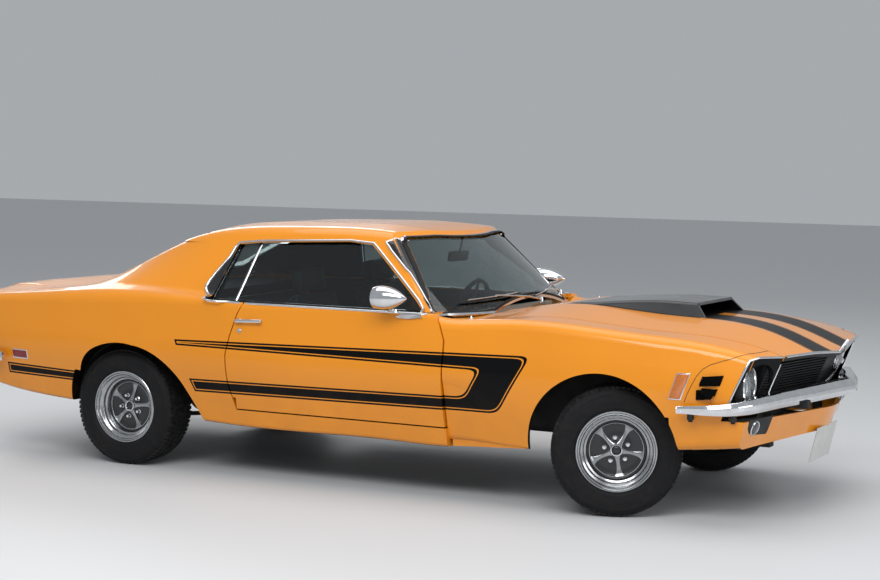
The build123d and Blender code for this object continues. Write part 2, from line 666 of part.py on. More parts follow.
tunnel_in = [(-10, 200), (-10, 388), (92, 378), (140, 262), (140, 200)]
rear_floor_half = cut(fuse(rear_floor_half, cross_prism(tunnel_out, -1030, pan_x)), cross_prism(tunnel_in, -1100, -600))
rear_floor_half = fuse(rear_floor_half, house)
keep(both_sides(rear_floor_half), "rear_floor")

# Inner wings, chassis rails and the radiator panel
bay_half = fuse(
    side_prism([(462, 330), (462, 850), (1300, 812), (1850, 765), (1850, 330)], 430, 440),
    block(462, 2040, 375, 440, 330, 395),
    block(1840, 1850, -5, 640, 395, 540),
    block(1840, 1850, 300, 640, 395, 760),
    block(1840, 1850, -5, 640, 720, 760),
    block(1840, 2010, 560, 604, 556, 580),
    block(2000, 2040, 385, 430, 330, 560),
    block(2000, 2215, 385, 430, 525, 560),
    block(1560, 1640, 385, 430, 320, 331),
)
bay_half = cut(bay_half, front_bumper, block(AXLE_F - 62, AXLE_F + 62, 420, 450, 408, 448))
keep(both_sides(bay_half), "engine_bay")


def wheel_parts():
    """A wheel about the Y axis, its outer face towards +Y: the rim with its drum, and the tyre."""
    hw = RIM_W / 2
    with BuildPart() as rim:
        with BuildSketch(Plane.XY):
            with BuildLine():
                Polyline(
                    (RIM_R, hw), (RIM_R, hw - 5), (BEAD_R + 4, hw - 10), (BEAD_R, hw - 16), (BEAD_R, 58), (150, 42), (150, -40),
                    (BEAD_R, -62), (BEAD_R, -hw + 16), (BEAD_R + 4, -hw + 10), (RIM_R, -hw + 5), (RIM_R, -hw),
                    (RIM_R - 6, -hw), (BEAD_R - 2, -hw + 8), (BEAD_R - 5, -hw + 16), (BEAD_R - 5, -64), (144, -43), (144, 45),
                    (BEAD_R - 6, 62), (BEAD_R - 6, hw - 16), (RIM_R - 14, hw - 6), (RIM_R - 6, hw), close=True,
                )
            make_face()
        revolve(axis=Axis.Y)
        with BuildSketch(Plane.XY):
            with BuildLine():
                Polyline((16 + FIT, -40), (125, -40), (125, 14), (80, 24), (80, 30), (130, 36), (146, 22), (146, 34), (128, 50), (76, 40),
                         (52, 40), (38, 58), (16 + FIT, 62), close=True)
            make_face()
        revolve(axis=Axis.Y)
        with BuildSketch(Plane.XZ.offset(-70)):
            with PolarLocations(0, 5):
                Polygon((84, -26), (134, -60), (139, 0), (134, 60), (84, 26), align=None)
        extrude(amount=54, mode=Mode.SUBTRACT)
    with BuildPart() as nuts:
        with BuildSketch(Plane.XZ.offset(-38)):
            with PolarLocations(58, 5, 36):
                Circle(9)
        extrude(amount=-16)
    with BuildPart() as tyre:
        hb = RIM_W / 2 - 12
        with BuildSketch(Plane.XY):
            with BuildLine():
                Polyline((BEAD_R + FIT, 60), (BEAD_R + FIT, hb - 5), (BEAD_R + 5, hb), (RIM_R - 2, hb + 2), (RIM_R + 5, hb + 10))
                ThreePointArc((RIM_R + 5, hb + 10), (RIM_R + 55, TYRE_W / 2), (TYRE_R - 14, TYRE_W / 2 - 14))
                Polyline((TYRE_R - 14, TYRE_W / 2 - 14), (TYRE_R - 2, TYRE_W / 2 - 28), (TYRE_R, 0))
                Polyline((TYRE_R, 0), (TYRE_R - 2, -TYRE_W / 2 + 28), (TYRE_R - 14, -TYRE_W / 2 + 14))
                ThreePointArc((TYRE_R - 14, -TYRE_W / 2 + 14), (RIM_R + 55, -TYRE_W / 2), (RIM_R + 5, -hb - 10))
                Polyline((RIM_R + 5, -hb - 10), (RIM_R - 2, -hb - 2), (BEAD_R + 5, -hb), (BEAD_R + FIT, -hb + 5), (BEAD_R + FIT, -64))
                Polyline((BEAD_R + FIT, -64), (BEAD_R + 16, -66), (RIM_R + 30, -hb - 2), (TYRE_R - 20, -hb + 4), (TYRE_R - 14, 0))
                Polyline((TYRE_R - 14, 0), (TYRE_R - 20, hb - 4), (RIM_R + 30, hb + 2), (BEAD_R + 16, 62), (BEAD_R + FIT, 60))
            make_face()
        revolve(axis=Axis.Y)
    return fuse(rim.part, nuts.part), tyre.part


rim, tyre = wheel_parts()


def knuckle_parts():
    """A stub axle about the Y axis, with its backing plate, on an upright whose kingpin stands at the left."""
    pin = KINGPIN_Y - WHEEL_Y
    return fuse(
        rod((0, -60, 0), (0, 44, 0), 16),
        rod((0, -54, 0), (0, -47, 0), 104),
        block(-14, 14, pin - 18, -50, -110, 112),
        block(0, 120, pin - 14, pin + 4, -60, -40),
    )


knuckle = knuckle_parts()


def steered(part, side):
    """Puts a wheel-end piece on its axle, turned about its kingpin as the car stands."""
    if side < 0:
        part = mirror(part, about=Plane.XZ)
    pin = KINGPIN_Y - WHEEL_Y
    part = part.moved(Location((0, -side * pin, 0)))
    part = part.moved(Location((0, 0, 0), (0, 0, STEER_AT_REST)))
    return part.moved(Location((AXLE_F, side * KINGPIN_Y, TYRE_R)))


def straight(part, side):
    """Puts a wheel-end piece on the rear axle."""
    if side < 0:
        part = mirror(part, about=Plane.XZ)
    return part.moved(Location((AXLE_R, side * WHEEL_Y, TYRE_R)))


for side, name in ((1, "left"), (-1, "right")):
    keep(steered(rim, side), f"front_rim_{name}")
    keep(steered(tyre, side), f"front_tyre_{name}")
    keep(steered(knuckle, side), f"knuckle_{name}")
    keep(straight(rim, side), f"rear_rim_{name}")
    keep(straight(tyre, side), f"rear_tyre_{name}")

# Front suspension: crossmember, lower arms, upper arms
front_arm_half = fuse(
    block(AXLE_F - 55, AXLE_F + 55, -5, 376, 235, 300),
    block(AXLE_F - 60, AXLE_F + 60, 300, 425, 235, 330),
    block(AXLE_F - 50, AXLE_F + 50, 340, 374, 235, 436),
    plan_prism([(AXLE_F - 50, 370), (AXLE_F + 50, 370), (AXLE_F + 12, KINGPIN_Y + 10), (AXLE_F - 12, KINGPIN_Y + 10)], 178, TYRE_R - 110),
    block(AXLE_F - 50, AXLE_F + 50, 340, 376, 178, 240),
    plan_prism([(AXLE_F - 50, 360), (AXLE_F + 50, 360), (AXLE_F + 12, KINGPIN_Y + 10), (AXLE_F - 12, KINGPIN_Y + 10)], TYRE_R + 112, 436),
)
keep(both_sides(front_arm_half), "front_suspension")

# Rear axle with its backing plates and stub ends, and the leaf springs
axle_half = fuse(
    rod((AXLE_R, -5, TYRE_R), (AXLE_R, WHEEL_Y - 50, TYRE_R), 38),
    rod((AXLE_R, WHEEL_Y - 60, TYRE_R), (AXLE_R, WHEEL_Y + 44, TYRE_R), 16),
    rod((AXLE_R, WHEEL_Y - 54, TYRE_R), (AXLE_R, WHEEL_Y - 47, TYRE_R), 118),
    rod((AXLE_R, -5, TYRE_R), (AXLE_R, 105, TYRE_R), 105),
    block(AXLE_R - 40, AXLE_R + 40, 505, 555, 256, 300),
)
with BuildPart() as spring:
    with BuildSketch(Plane.XZ.offset(-558)):
        with BuildLine():
            ThreePointArc((AXLE_R - 640, 330), (AXLE_R, 238), (AXLE_R + 560, 300))
            Line((AXLE_R + 560, 300), (AXLE_R + 560, 316))
            ThreePointArc((AXLE_R + 560, 316), (AXLE_R, 256), (AXLE_R - 640, 346))
            Line((AXLE_R - 640, 346), (AXLE_R - 640, 330))
        make_face()
    extrude(amount=56)
spring = fuse(spring.part, block(AXLE_R - 640, AXLE_R - 610, 506, 554, 335, 430))
keep_pair(spring, "leaf_spring")
keep(both_sides(cut(axle_half, spring)), "rear_axle")

# Engine, gearbox with propeller shaft, exhaust, fuel tank
keep(block(745, 1300, -250, 250, 300, 760), "engine")
driveline = fuse(rod((745, 0, 335), (470, 0, 335), 78), rod((475, 0, 335), (AXLE_R + 105, 0, TYRE_R), 36))
keep(driveline, "driveline")
keep(block(-2250, -1760, -320, 320, 290, 430), "fuel_tank")
with BuildPart() as pipe:
    with BuildLine() as run:
        FilletPolyline((700, 215, 232), (-980, 215, 232), (-1250, 330, 388), (-1480, 420, 388), (-1700, 430, 330), (-2380, 430, 330), radius=60)
    with BuildSketch(Plane(origin=(700, 215, 232), z_dir=(-1, 0, 0))):
        Circle(25)
    sweep()
exhaust = fuse(pipe.part, rod((-1780, 430, 330), (-2200, 430, 330), 62), block(-600, -580, 205, 225, 240, FLOOR_Z))
keep_pair(exhaust, "exhaust")

# Seats
SEAT_Y = 375


def seat(points, y0, y1):
    """A soft seat from its side outline, with rounded edges."""
    with BuildPart() as form:
        with BuildSketch(Plane.XZ.offset(-y1)):
            with BuildLine():
                FilletPolyline(*points, radius=30, close=True)
            make_face()
        extrude(amount=y1 - y0)
    return form.part


front_seat = seat(
    [(160, 274.3), (170, 470), (150, 520), (-300, 480), (-450, 890), (-470, 1060), (-560, 1060), (-590, 880), (-450, 274.3)],
    SEAT_Y - 215, SEAT_Y + 215,
)
keep_pair(front_seat, "front_seat")
keep(seat([(-775, 400.3), (-700, 400.3), (-690, 470), (-725, 510), (-1030, 470), (-1110, 840), (-1179.7, 870), (-1179.7, 442.3), (-1050, 442.3)], -560, 560), "rear_seat")

# Dashboard with the steering column
COLUMN = ((430, SEAT_Y, 690), (90, SEAT_Y, 800))
dash = fuse(
    side_prism([(448, 640), (448, 850), (420, 858), (340, 840), (320, 800), (350, 640)], -740, 740),
    rod(COLUMN[0], COLUMN[1], 24),
)
shaft_foot = Vector(*COLUMN[1]) + (Vector(*COLUMN[0]) - Vector(*COLUMN[1])).normalized() * 26
dash = cut(dash, rod(tuple(shaft_foot), COLUMN[1], 10.05))
keep(dash, "dashboard")
col_a, col_b = Vector(*COLUMN[0]), Vector(*COLUMN[1])
col_dir = (col_b - col_a).normalized()
wheel_plane = Plane(origin=col_b + col_dir * 30, x_dir=(0, 1, 0), z_dir=col_dir)
with BuildPart() as steering:
    with BuildSketch(Plane(origin=wheel_plane.origin, x_dir=wheel_plane.x_dir, z_dir=wheel_plane.y_dir)):
        with Locations((182, 0)):
            Circle(12)
    revolve(axis=Axis(wheel_plane.origin, wheel_plane.z_dir))
    with BuildSketch(wheel_plane.offset(-4)):
        Rectangle(364, 26)
        with Locations((0, -90)):
            Rectangle(26, 180)
        Circle(38)
    extrude(amount=8)
    with BuildSketch(wheel_plane.offset(-22)):
        Circle(20)
    extrude(amount=20)
    with BuildSketch(wheel_plane.offset(-50)):
        Circle(10)
    extrude(amount=40)
keep(steering.part, "steering_wheel")

# Door mirrors
with BuildPart() as mirror_head:
    with BuildSketch(Plane.XY):
        with BuildLine():
            Polyline((-78, 0), (-78, 52))
            Spline((-78, 52), (-40, 58), (36, 42), (98, 0))
            Line((98, 0), (-78, 0))
        make_face()
    revolve(axis=Axis.X)
head = mirror_head.part.moved(Location((285, 950, 975)))
door_mirror = fuse(head, rod((278, 944, 940), (262, 862, 905), 9), rod((262, 866, 896), (262, 862, 910), 26))
door_mirror = cut(door_mirror, side_skin)
keep_pair(door_mirror, "door_mirror")

# Blank number plate under the valance
plate = side_prism([(2188, 400), (2192, 400), (2152, 230), (2148, 230)], -170, 170)
keep(cut(plate, both_sides(valance)), "front_plate")
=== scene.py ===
import math

import bmesh
import bpy
from mathutils import Matrix, Vector
from mathutils.bvhtree import BVHTree


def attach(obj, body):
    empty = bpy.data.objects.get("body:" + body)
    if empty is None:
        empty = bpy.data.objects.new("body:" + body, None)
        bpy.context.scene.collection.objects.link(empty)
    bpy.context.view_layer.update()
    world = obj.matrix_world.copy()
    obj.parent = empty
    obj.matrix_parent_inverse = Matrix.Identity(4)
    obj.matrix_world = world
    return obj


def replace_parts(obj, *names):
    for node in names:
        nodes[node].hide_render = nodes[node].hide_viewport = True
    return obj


# A two-door muscle car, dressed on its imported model. Metres, +X forwards, +Y to the car's left, +Z up.
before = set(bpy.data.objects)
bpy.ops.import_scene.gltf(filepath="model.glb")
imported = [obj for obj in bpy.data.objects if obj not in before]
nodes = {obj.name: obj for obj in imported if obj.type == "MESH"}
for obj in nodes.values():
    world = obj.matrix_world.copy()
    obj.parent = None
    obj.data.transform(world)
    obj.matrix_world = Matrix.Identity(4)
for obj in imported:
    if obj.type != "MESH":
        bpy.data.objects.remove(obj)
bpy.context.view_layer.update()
scene = bpy.context.scene
SIDES = ((1, "left"), (-1, "right"))
QUARTER = math.pi / 2

# Places are given from the middle of the wheelbase, as in the part's source, and finished pieces are moved forward by
# this much to the car's origin
MIDDLE = 0.07

# Places on the car that the part's source also holds
AXLE_FRONT = 1.3715
AXLE_REAR = -1.3715
WHEEL_Y = 0.743
AXLE_Z = 0.308
KINGPIN_Y = 0.68
STEERED = math.radians(22)
BELT_Z = 0.902
SCREEN_FOOT_X = 0.64
SCREEN_RADIUS = 1.456
SCREEN_RAKE = 390 / 346
LAMP_PLACE = (2.018, 0.733, 0.648)

# Colours, in linear light
ORANGE = (0.84, 0.285, 0.006)
ROAD_DUST = (0.13, 0.07, 0.03)
# Black of the stripes, also used for painted shade on the paint's downward faces
STRIPE_AND_SHADE_BLACK = (0.003, 0.003, 0.0035)
BLACK = (0.012, 0.012, 0.013)
CHROME = (0.8, 0.81, 0.83)
# The wheels' silver: partly the metal's own tone, partly painted shade that darkens it for the barrel
SILVER_WITH_SHADE = (0.46, 0.47, 0.48)
RUBBER = (0.007, 0.007, 0.008)
TREAD_DUST = (0.045, 0.042, 0.038)
VINYL = (0.014, 0.014, 0.015)
AMBER = (0.8, 0.2, 0.0)
RED = (0.34, 0.006, 0.008)
STEEL = (0.13, 0.13, 0.135)


def shade(colour, share):
    """A colour made darker or brighter by a share."""
    return tuple(c * share for c in colour)


class Finish:
    """A material under construction, with short names for its nodes."""

    def __init__(self, name):
        self.material = bpy.data.materials.new(name)
        self.material.use_nodes = True
        self.tree = self.material.node_tree
        self.shader = self.tree.nodes["Principled BSDF"]
        whole = self.add("ShaderNodeTexCoord").outputs["Object"]
        back = self.tree.nodes.new("ShaderNodeVectorMath")
        back.operation = "SUBTRACT"
        self.feed(whole, back.inputs[0])
        back.inputs[1].default_value = (MIDDLE, 0.0, 0.0)
        self.place = back.outputs[0]

    def add(self, kind, **inputs):
        node = self.tree.nodes.new(kind)
        for name, value in inputs.items():
            self.feed(value, node.inputs[name.replace("_", " ")])
        return node

    def feed(self, value, socket):
        if isinstance(value, bpy.types.NodeSocket):
            self.tree.links.new(value, socket)
        elif isinstance(value, tuple) and socket.type == "RGBA":
            socket.default_value = (*value[:3], 1.0)
        else:
            socket.default_value = value

    def sums(self, operation, *values):
        node = self.tree.nodes.new("ShaderNodeMath")
        node.operation = operation
        for i, value in enumerate(values):
            self.feed(value, node.inputs[i])
        return node.outputs[0]

    def above(self, value, limit):
        return self.sums("GREATER_THAN", value, limit)

    def below(self, value, limit):
        return self.sums("LESS_THAN", value, limit)

    def between(self, value, low, high):
        return self.all_of(self.above(value, low), self.below(value, high))

    def all_of(self, first, *others):
        """The product, which is 1 where every mask is 1."""
        for other in others:
            first = self.sums("MULTIPLY", first, other)
        return first

    def any_of(self, first, *others):
        """The greatest, which is 1 where any mask is 1."""
        for other in others:
            first = self.sums("MAXIMUM", first, other)
        return first

    def all_but(self, mask):
        return self.sums("SUBTRACT", 1.0, mask)

    def size(self, value):
        return self.sums("ABSOLUTE", value)

    def mix(self, share, a, b):
        node = self.tree.nodes.new("ShaderNodeMix")
        node.data_type = "RGBA"
        for i, value in ((0, share), (6, a), (7, b)):
            if i and isinstance(value, tuple):
                node.inputs[i].default_value = (*value[:3], 1.0)
            else:
                self.feed(value, node.inputs[i])
        return node.outputs[2]

    def range(self, value, low, high, to_low=0.0, to_high=1.0):
        node = self.tree.nodes.new("ShaderNodeMapRange")
        for i, v in enumerate((value, low, high, to_low, to_high)):
            self.feed(v, node.inputs[i])
        return node.outputs[0]

    def noise(self, scale, detail=3.0):
        return self.add("ShaderNodeTexNoise", Vector=self.place, Scale=scale, Detail=detail).outputs[0]

    def axes(self, place=None):
        return self.add("ShaderNodeSeparateXYZ", Vector=place or self.place).outputs

    def facing(self, axis):
        """How far a face points along an axis."""
        return self.axes(self.tree.nodes.new("ShaderNodeTexCoord").outputs["Normal"])[axis]

    def toward(self, direction, offset):
        """How far a point lies beyond a plane."""
        node = self.tree.nodes.new("ShaderNodeVectorMath")
        node.operation = "DOT_PRODUCT"
        self.feed(self.place, node.inputs[0])
        node.inputs[1].default_value = direction
        return self.sums("SUBTRACT", node.outputs["Value"], offset)

    def beyond(self, a, b, inside, flat=(0, 2)):
        """Distance beyond the line a-b, drawn in two axes; negative on the side of the point inside."""
        dx, dz = b[0] - a[0], b[1] - a[1]
        size = math.hypot(dx, dz)
        n = (-dz / size, dx / size)
        if (inside[0] - a[0]) * n[0] + (inside[1] - a[1]) * n[1] > 0:
            n = (-n[0], -n[1])
        direction = [0.0, 0.0, 0.0]
        direction[flat[0]], direction[flat[1]] = n
        return self.toward(tuple(direction), a[0] * n[0] + a[1] * n[1])

    def within(self, distances, round_off):
        """Joins distances into one outline with rounded corners."""
        joined = distances[0]
        for distance in distances[1:]:
            joined = self.sums("SMOOTH_MAX", joined, distance, round_off)
        return joined

    def bump(self, *layers):
        """Stacks bumps: height socket, strength and depth in metres."""
        normal = None
        for height, strength, depth in layers:
            node = self.add("ShaderNodeBump", Strength=strength, Distance=depth, Height=height)
            if normal is not None:
                self.feed(normal, node.inputs["Normal"])
            normal = node.outputs[0]
        self.feed(normal, self.shader.inputs["Normal"])

    def done(self, **values):
        for name, value in values.items():
            self.feed(value, self.shader.inputs[name.replace("_", " ")])
        return self.material


# The side stripe, from the side as (x, z): each pair of points is one edge
STRIPE_OUTER = (((-1.004, 0.696), (0.975, 0.732)), ((1.003, 0.709), (0.847, 0.45)),
                ((-0.878, 0.43), (0.822, 0.446)))
STRIPE_INNER = (((-0.98, 0.667), (0.74, 0.65)), ((0.75, 0.655), (0.655, 0.5)),
                ((-0.92, 0.497), (0.562, 0.515)))
STRIPE_LEFT = ((-0.993, 0.685), (-0.895, 0.445))
STRIPE_MIDDLE = (0.0, 0.58)
STRIPE_CORNER = 0.065
STRIPE_TIP = 0.006
FLANK_FROM = 0.8
# Its tail behind the rear wheel
REAR_STRIPE = (((-2.0805, 0.5007), (-1.6374, 0.4854)), ((-2.07, 0.441), (-1.628, 0.4297)),
               ((-2.135, 0.4), (-2.135, 0.6)))
REAR_MIDDLE = (-1.8, 0.46)
REAR_FRONT = 1.4
# The bonnet's bands, from above as (x, y), and the black patch under the scoop
BAND_OUTER = ((1.6, 0.3), (2.2, 0.312))
BAND_INNER = ((1.6, 0.045), (2.25, 0.092))
BAND_MIDDLE = (2.0, 0.2)
BAND_REAR = 1.6
PATCH_HALF, PATCH_REAR, PATCH_FRONT = 0.322, 0.95, 1.64
BAND_CORNER = 0.004
# The thin line of paint inside a stripe's edge
PIN_IN, PIN_OUT = -0.0138, -0.0092


def with_pinstripe(f, distance):
    """1 on the black of a stripe, leaving a thin line of paint just inside its edge."""
    black = f.below(distance, 0.0)
    return f.all_of(black, f.all_but(f.between(distance, PIN_IN, PIN_OUT)))


def side_stripe(f):
    outer = f.within([f.beyond(a, b, STRIPE_MIDDLE) for a, b in STRIPE_OUTER], STRIPE_CORNER)
    inner = f.within([f.beyond(a, b, STRIPE_MIDDLE) for a, b in STRIPE_INNER], STRIPE_CORNER)
    left = f.beyond(*STRIPE_LEFT, STRIPE_MIDDLE)
    shape = f.within([outer, f.sums("MULTIPLY", inner, -1.0), left], STRIPE_TIP)
    rear = f.within([f.beyond(a, b, REAR_MIDDLE) for a, b in REAR_STRIPE], BAND_CORNER)
    rear = f.any_of(rear, f.sums("ADD", f.axes()[0], REAR_FRONT))
    on_flank = f.above(f.size(f.axes()[1]), FLANK_FROM)
    return f.all_of(on_flank, with_pinstripe(f, f.sums("MINIMUM", shape, rear)))


def hood_stripe(f):
    whole = f.place
    x, y, z = f.axes()
    # With its sideways part made positive, one outline serves both sides
    f.place = f.add("ShaderNodeCombineXYZ", X=x, Y=f.size(y), Z=z).outputs[0]
    edges = [f.beyond(*line, BAND_MIDDLE, (0, 1)) for line in (BAND_OUTER, BAND_INNER)]
    bands = f.within(edges, BAND_CORNER)
    x, y, z = f.axes()
    bands = f.any_of(bands, f.sums("SUBTRACT", BAND_REAR, x))
    patch = f.any_of(f.sums("SUBTRACT", y, PATCH_HALF), f.sums("SUBTRACT", PATCH_REAR, x),
                     f.sums("SUBTRACT", x, PATCH_FRONT))
    f.place = whole
    return f.any_of(with_pinstripe(f, bands), f.below(patch, 0.0))


# Where the black inner faces round the cabin lie: the walls, the head lining, and the reveals of the windows
WALL_HALF, WALL_X, WALL_Z = 0.795, (-1.2, 0.47), (0.36, 0.895)
LINING_FROM, LINING_X = 0.905, (-1.6, 0.6)
REVEAL_X, REVEAL_Z = (-0.9, 0.47), (0.896, 1.24)
BELT_TOP = 0.906
# The nose caps keep their paint outside and on top, and the cowl only on its panel
NOSE_HALF, NOSE_TOP = 0.795, 0.735
COWL_TOP, COWL_REAR = 0.8795, 0.44
ARCH_RADIUS = 0.425


def outwards(f):
    """How far a face points away from the car's middle plane."""
    return f.all_of(f.facing(1), f.sums("SIGN", f.axes()[1]))


def cabin_lining(f):
    """1 on the inner faces round the cabin, which are trimmed in black."""
    x, y, z = f.axes()
    wall = f.all_of(f.below(f.size(y), WALL_HALF), f.between(z, *WALL_Z), f.between(x, *WALL_X))
    under = f.any_of(f.below(f.facing(2), -0.25), f.below(outwards(f), -0.12))
    head = f.all_of(under, f.above(z, LINING_FROM), f.between(x, *LINING_X))
    edge_on = f.all_of(f.above(f.size(f.facing(0)), 0.55), f.below(f.facing(2), 0.45))
    belt_top = f.all_of(f.above(f.facing(2), 0.9), f.below(z, BELT_TOP))
    reveal = f.all_of(f.any_of(edge_on, belt_top), f.between(z, *REVEAL_Z), f.between(x, *REVEAL_X))
    return f.any_of(wall, head, reveal)


def bonnet_underside_shade(f):
    """1 on the underside of the bonnet and of its lip, which is painted black as painted shade."""
    return f.below(f.facing(2), -0.1)


def nose_recess(f):
    """1 on the nose caps' front face and all round the lamp recess, leaving the outer skin and the top."""
    x, y, z = f.axes()
    outer = f.all_of(f.above(outwards(f), 0.4), f.above(f.size(y), NOSE_HALF))
    top = f.all_of(f.above(f.facing(2), 0.5), f.above(z, NOSE_TOP))
    return f.all_but(f.any_of(outer, top))


def under_cowl(f):
    """1 on the bulkhead and the hinge pillars below the cowl panel."""
    x, y, z = f.axes()
    return f.all_but(f.all_of(f.above(z, COWL_TOP), f.above(x, COWL_REAR)))


def around(f, x, z, centre_x, centre_z):
    """How far a point is from an axle, seen from the side."""
    squares = [f.sums("POWER", f.sums("SUBTRACT", a, b), 2.0) for a, b in ((x, centre_x), (z, centre_z))]
    return f.sums("SQRT", f.sums("ADD", *squares))


def paint(name, stripe=None, dark=None):
    """Orange lacquer under clear coat, with its stripes, slight ripple, road dust low down, and black painted shade
    on faces that point down.
    """
    f = Finish(name)
    x, y, z = f.axes()
    cloud = f.range(f.noise(1.7, 2.0), 0.3, 0.7)
    colour = f.mix(cloud, ORANGE, shade(ORANGE, 0.94))
    near = f.sums("MINIMUM", *[around(f, x, z, axle, AXLE_Z) for axle in (AXLE_FRONT, AXLE_REAR)])
    arch = f.all_of(f.below(f.size(f.facing(1)), 0.55), f.below(near, ARCH_RADIUS))
    # Black on the arches' inner faces, and black painted shade on faces that point down
    black = f.any_of(arch, f.below(f.facing(2), -0.85))
    for mask in (stripe, dark):
        if mask:
            black = f.any_of(black, mask(f))
    colour = f.mix(black, colour, STRIPE_AND_SHADE_BLACK)
    low = f.range(z, 0.62, 0.26)
    dust = f.all_of(low, 0.2, f.range(f.noise(9.0, 8.0), 0.35, 0.9))
    colour = f.mix(dust, colour, ROAD_DUST)
    f.bump((f.noise(620.0, 1.0), 0.05, 0.0002), (f.noise(2.4, 1.0), 0.04, 0.004))
    return f.done(Base_Color=colour, Roughness=f.range(dust, 0.0, 0.4, 0.34, 0.62),
                  Coat_Weight=f.range(black, 0.0, 1.0, 0.85, 0.1), Coat_Roughness=0.05, Coat_IOR=1.42,
                  Specular_IOR_Level=f.range(black, 0.0, 1.0, 0.32, 0.08))


def chrome(name, tint=CHROME, rough=0.06):
    f = Finish(name)
    haze = f.range(f.noise(26.0, 5.0), 0.35, 0.8)
    f.bump((f.noise(7.0, 1.0), 0.02, 0.0015))
    return f.done(Base_Color=f.mix(haze, tint, shade(tint, 0.86)), Metallic=1.0,
                  Roughness=f.range(haze, 0.0, 1.0, rough, rough + 0.1))


def satin(name, colour, rough=0.45, metal=0.0, grain=240.0, depth=0.0004, mottle=0.25, coat=0.0):
    """Paint or plastic with a fine grain and a little mottling."""
    f = Finish(name)
    spots = f.range(f.noise(14.0, 6.0), 0.3, 0.75)
    tone = f.mix(spots, colour, shade(colour, 1 - mottle))
    f.bump((f.noise(grain, 2.0), 0.25, depth))
    return f.done(Base_Color=tone, Roughness=f.range(spots, 0.0, 1.0, rough, min(rough + 0.15, 1.0)),
                  Metallic=metal, Coat_Weight=coat, Coat_Roughness=0.08)


def painted_opening_shade(name):
    """Painted shade for the dark inside an opening: a flat black which gives no shine back."""
    f = Finish(name)
    tone = f.mix(f.noise(40.0, 2.0), (0.002, 0.002, 0.002), (0.004, 0.004, 0.004))
    return f.done(Base_Color=tone, Roughness=0.9, Specular_IOR_Level=0.03)


def glazing(name, tint):
    """Tinted safety glass with a faint film of dust."""
    f = Finish(name)
    film = f.range(f.noise(9.0, 7.0), 0.45, 0.8)
    f.bump((f.noise(3.0, 0.0), 0.02, 0.002))
    tone = f.mix(film, tint, tuple(min(c, 1) for c in shade(tint, 1.12)))
    return f.done(Base_Color=tone, Transmission_Weight=1.0, IOR=1.45, Roughness=f.range(film, 0.0, 1.0, 0.0, 0.04))


def lens(name, colour, ribs=170.0, clear=0.6):
    """A moulded lamp lens with ribs both ways."""
    f = Finish(name)
    wave = f.sums("SINE", f.sums("MULTIPLY", f.axes()[2], ribs * 2 * math.pi))
    cross = f.sums("SINE", f.sums("MULTIPLY", f.axes()[1], ribs * math.pi))
    f.bump((wave, 0.5, 0.0012), (cross, 0.35, 0.001))
    tone = f.mix(f.range(wave, -1.0, 1.0), shade(colour, 0.7), colour)
    return f.done(Base_Color=tone, Roughness=0.12, Transmission_Weight=clear, IOR=1.49, Coat_Weight=0.6,
                  Coat_Roughness=0.05)


# Radii between which a tyre's sidewall and its tread begin, and how close the mould rings stand
WALL_FADE, TREAD_FADE, MOULD_RINGS = (0.288, 0.284), (0.29, 0.3), 1250.0


def wheel_rubber(name, centre, turn):
    """Tyre rubber about a wheel's own axle: mould rings on the sidewall and a dusty tread."""
    f = Finish(name)
    node = f.add("ShaderNodeMapping", Vector=f.place)
    node.vector_type = "TEXTURE"
    node.inputs["Location"].default_value = centre
    node.inputs["Rotation"].default_value = (0.0, 0.0, turn)
    x, y, z = f.axes(node.outputs[0])
    radius = f.sums("SQRT", f.sums("ADD", f.sums("MULTIPLY", x, x), f.sums("MULTIPLY", z, z)))
    rings = f.sums("SINE", f.sums("MULTIPLY", radius, MOULD_RINGS))
    wall = f.range(radius, *WALL_FADE)
    dust = f.range(f.noise(30.0, 6.0), 0.45, 0.8)
    tread = f.range(radius, *TREAD_FADE)
    tone = f.mix(f.sums("MULTIPLY", dust, f.range(tread, 0.0, 1.0, 0.25, 0.7)), RUBBER, TREAD_DUST)
    f.bump((f.sums("MULTIPLY", rings, wall), 0.18, 0.0007), (f.noise(420.0, 2.0), 0.25, 0.0003))
    return f.done(Base_Color=tone, Roughness=f.range(dust, 0.0, 1.0, 0.62, 0.85), Specular_IOR_Level=0.2,
                  Sheen_Weight=0.02)


def hide(name, colour):
    """Grained vinyl upholstery."""
    f = Finish(name)
    pores = f.add("ShaderNodeTexVoronoi", Vector=f.place, Scale=320.0).outputs["Distance"]
    wear = f.range(f.noise(6.0, 4.0), 0.4, 0.75)
    f.bump((pores, 0.45, 0.0006), (f.noise(24.0, 3.0), 0.2, 0.002))
    return f.done(Base_Color=f.mix(wear, colour, shade(colour, 1.7)), Roughness=f.range(wear, 0.0, 1.0, 0.46, 0.6),
                  Sheen_Weight=0.08)


def carpet(name, colour):
    f = Finish(name)
    pile = f.noise(900.0, 2.0)
    f.bump((pile, 0.8, 0.002))
    return f.done(Base_Color=f.mix(pile, colour, shade(colour, 1.9)), Roughness=0.95, Sheen_Weight=0.2)


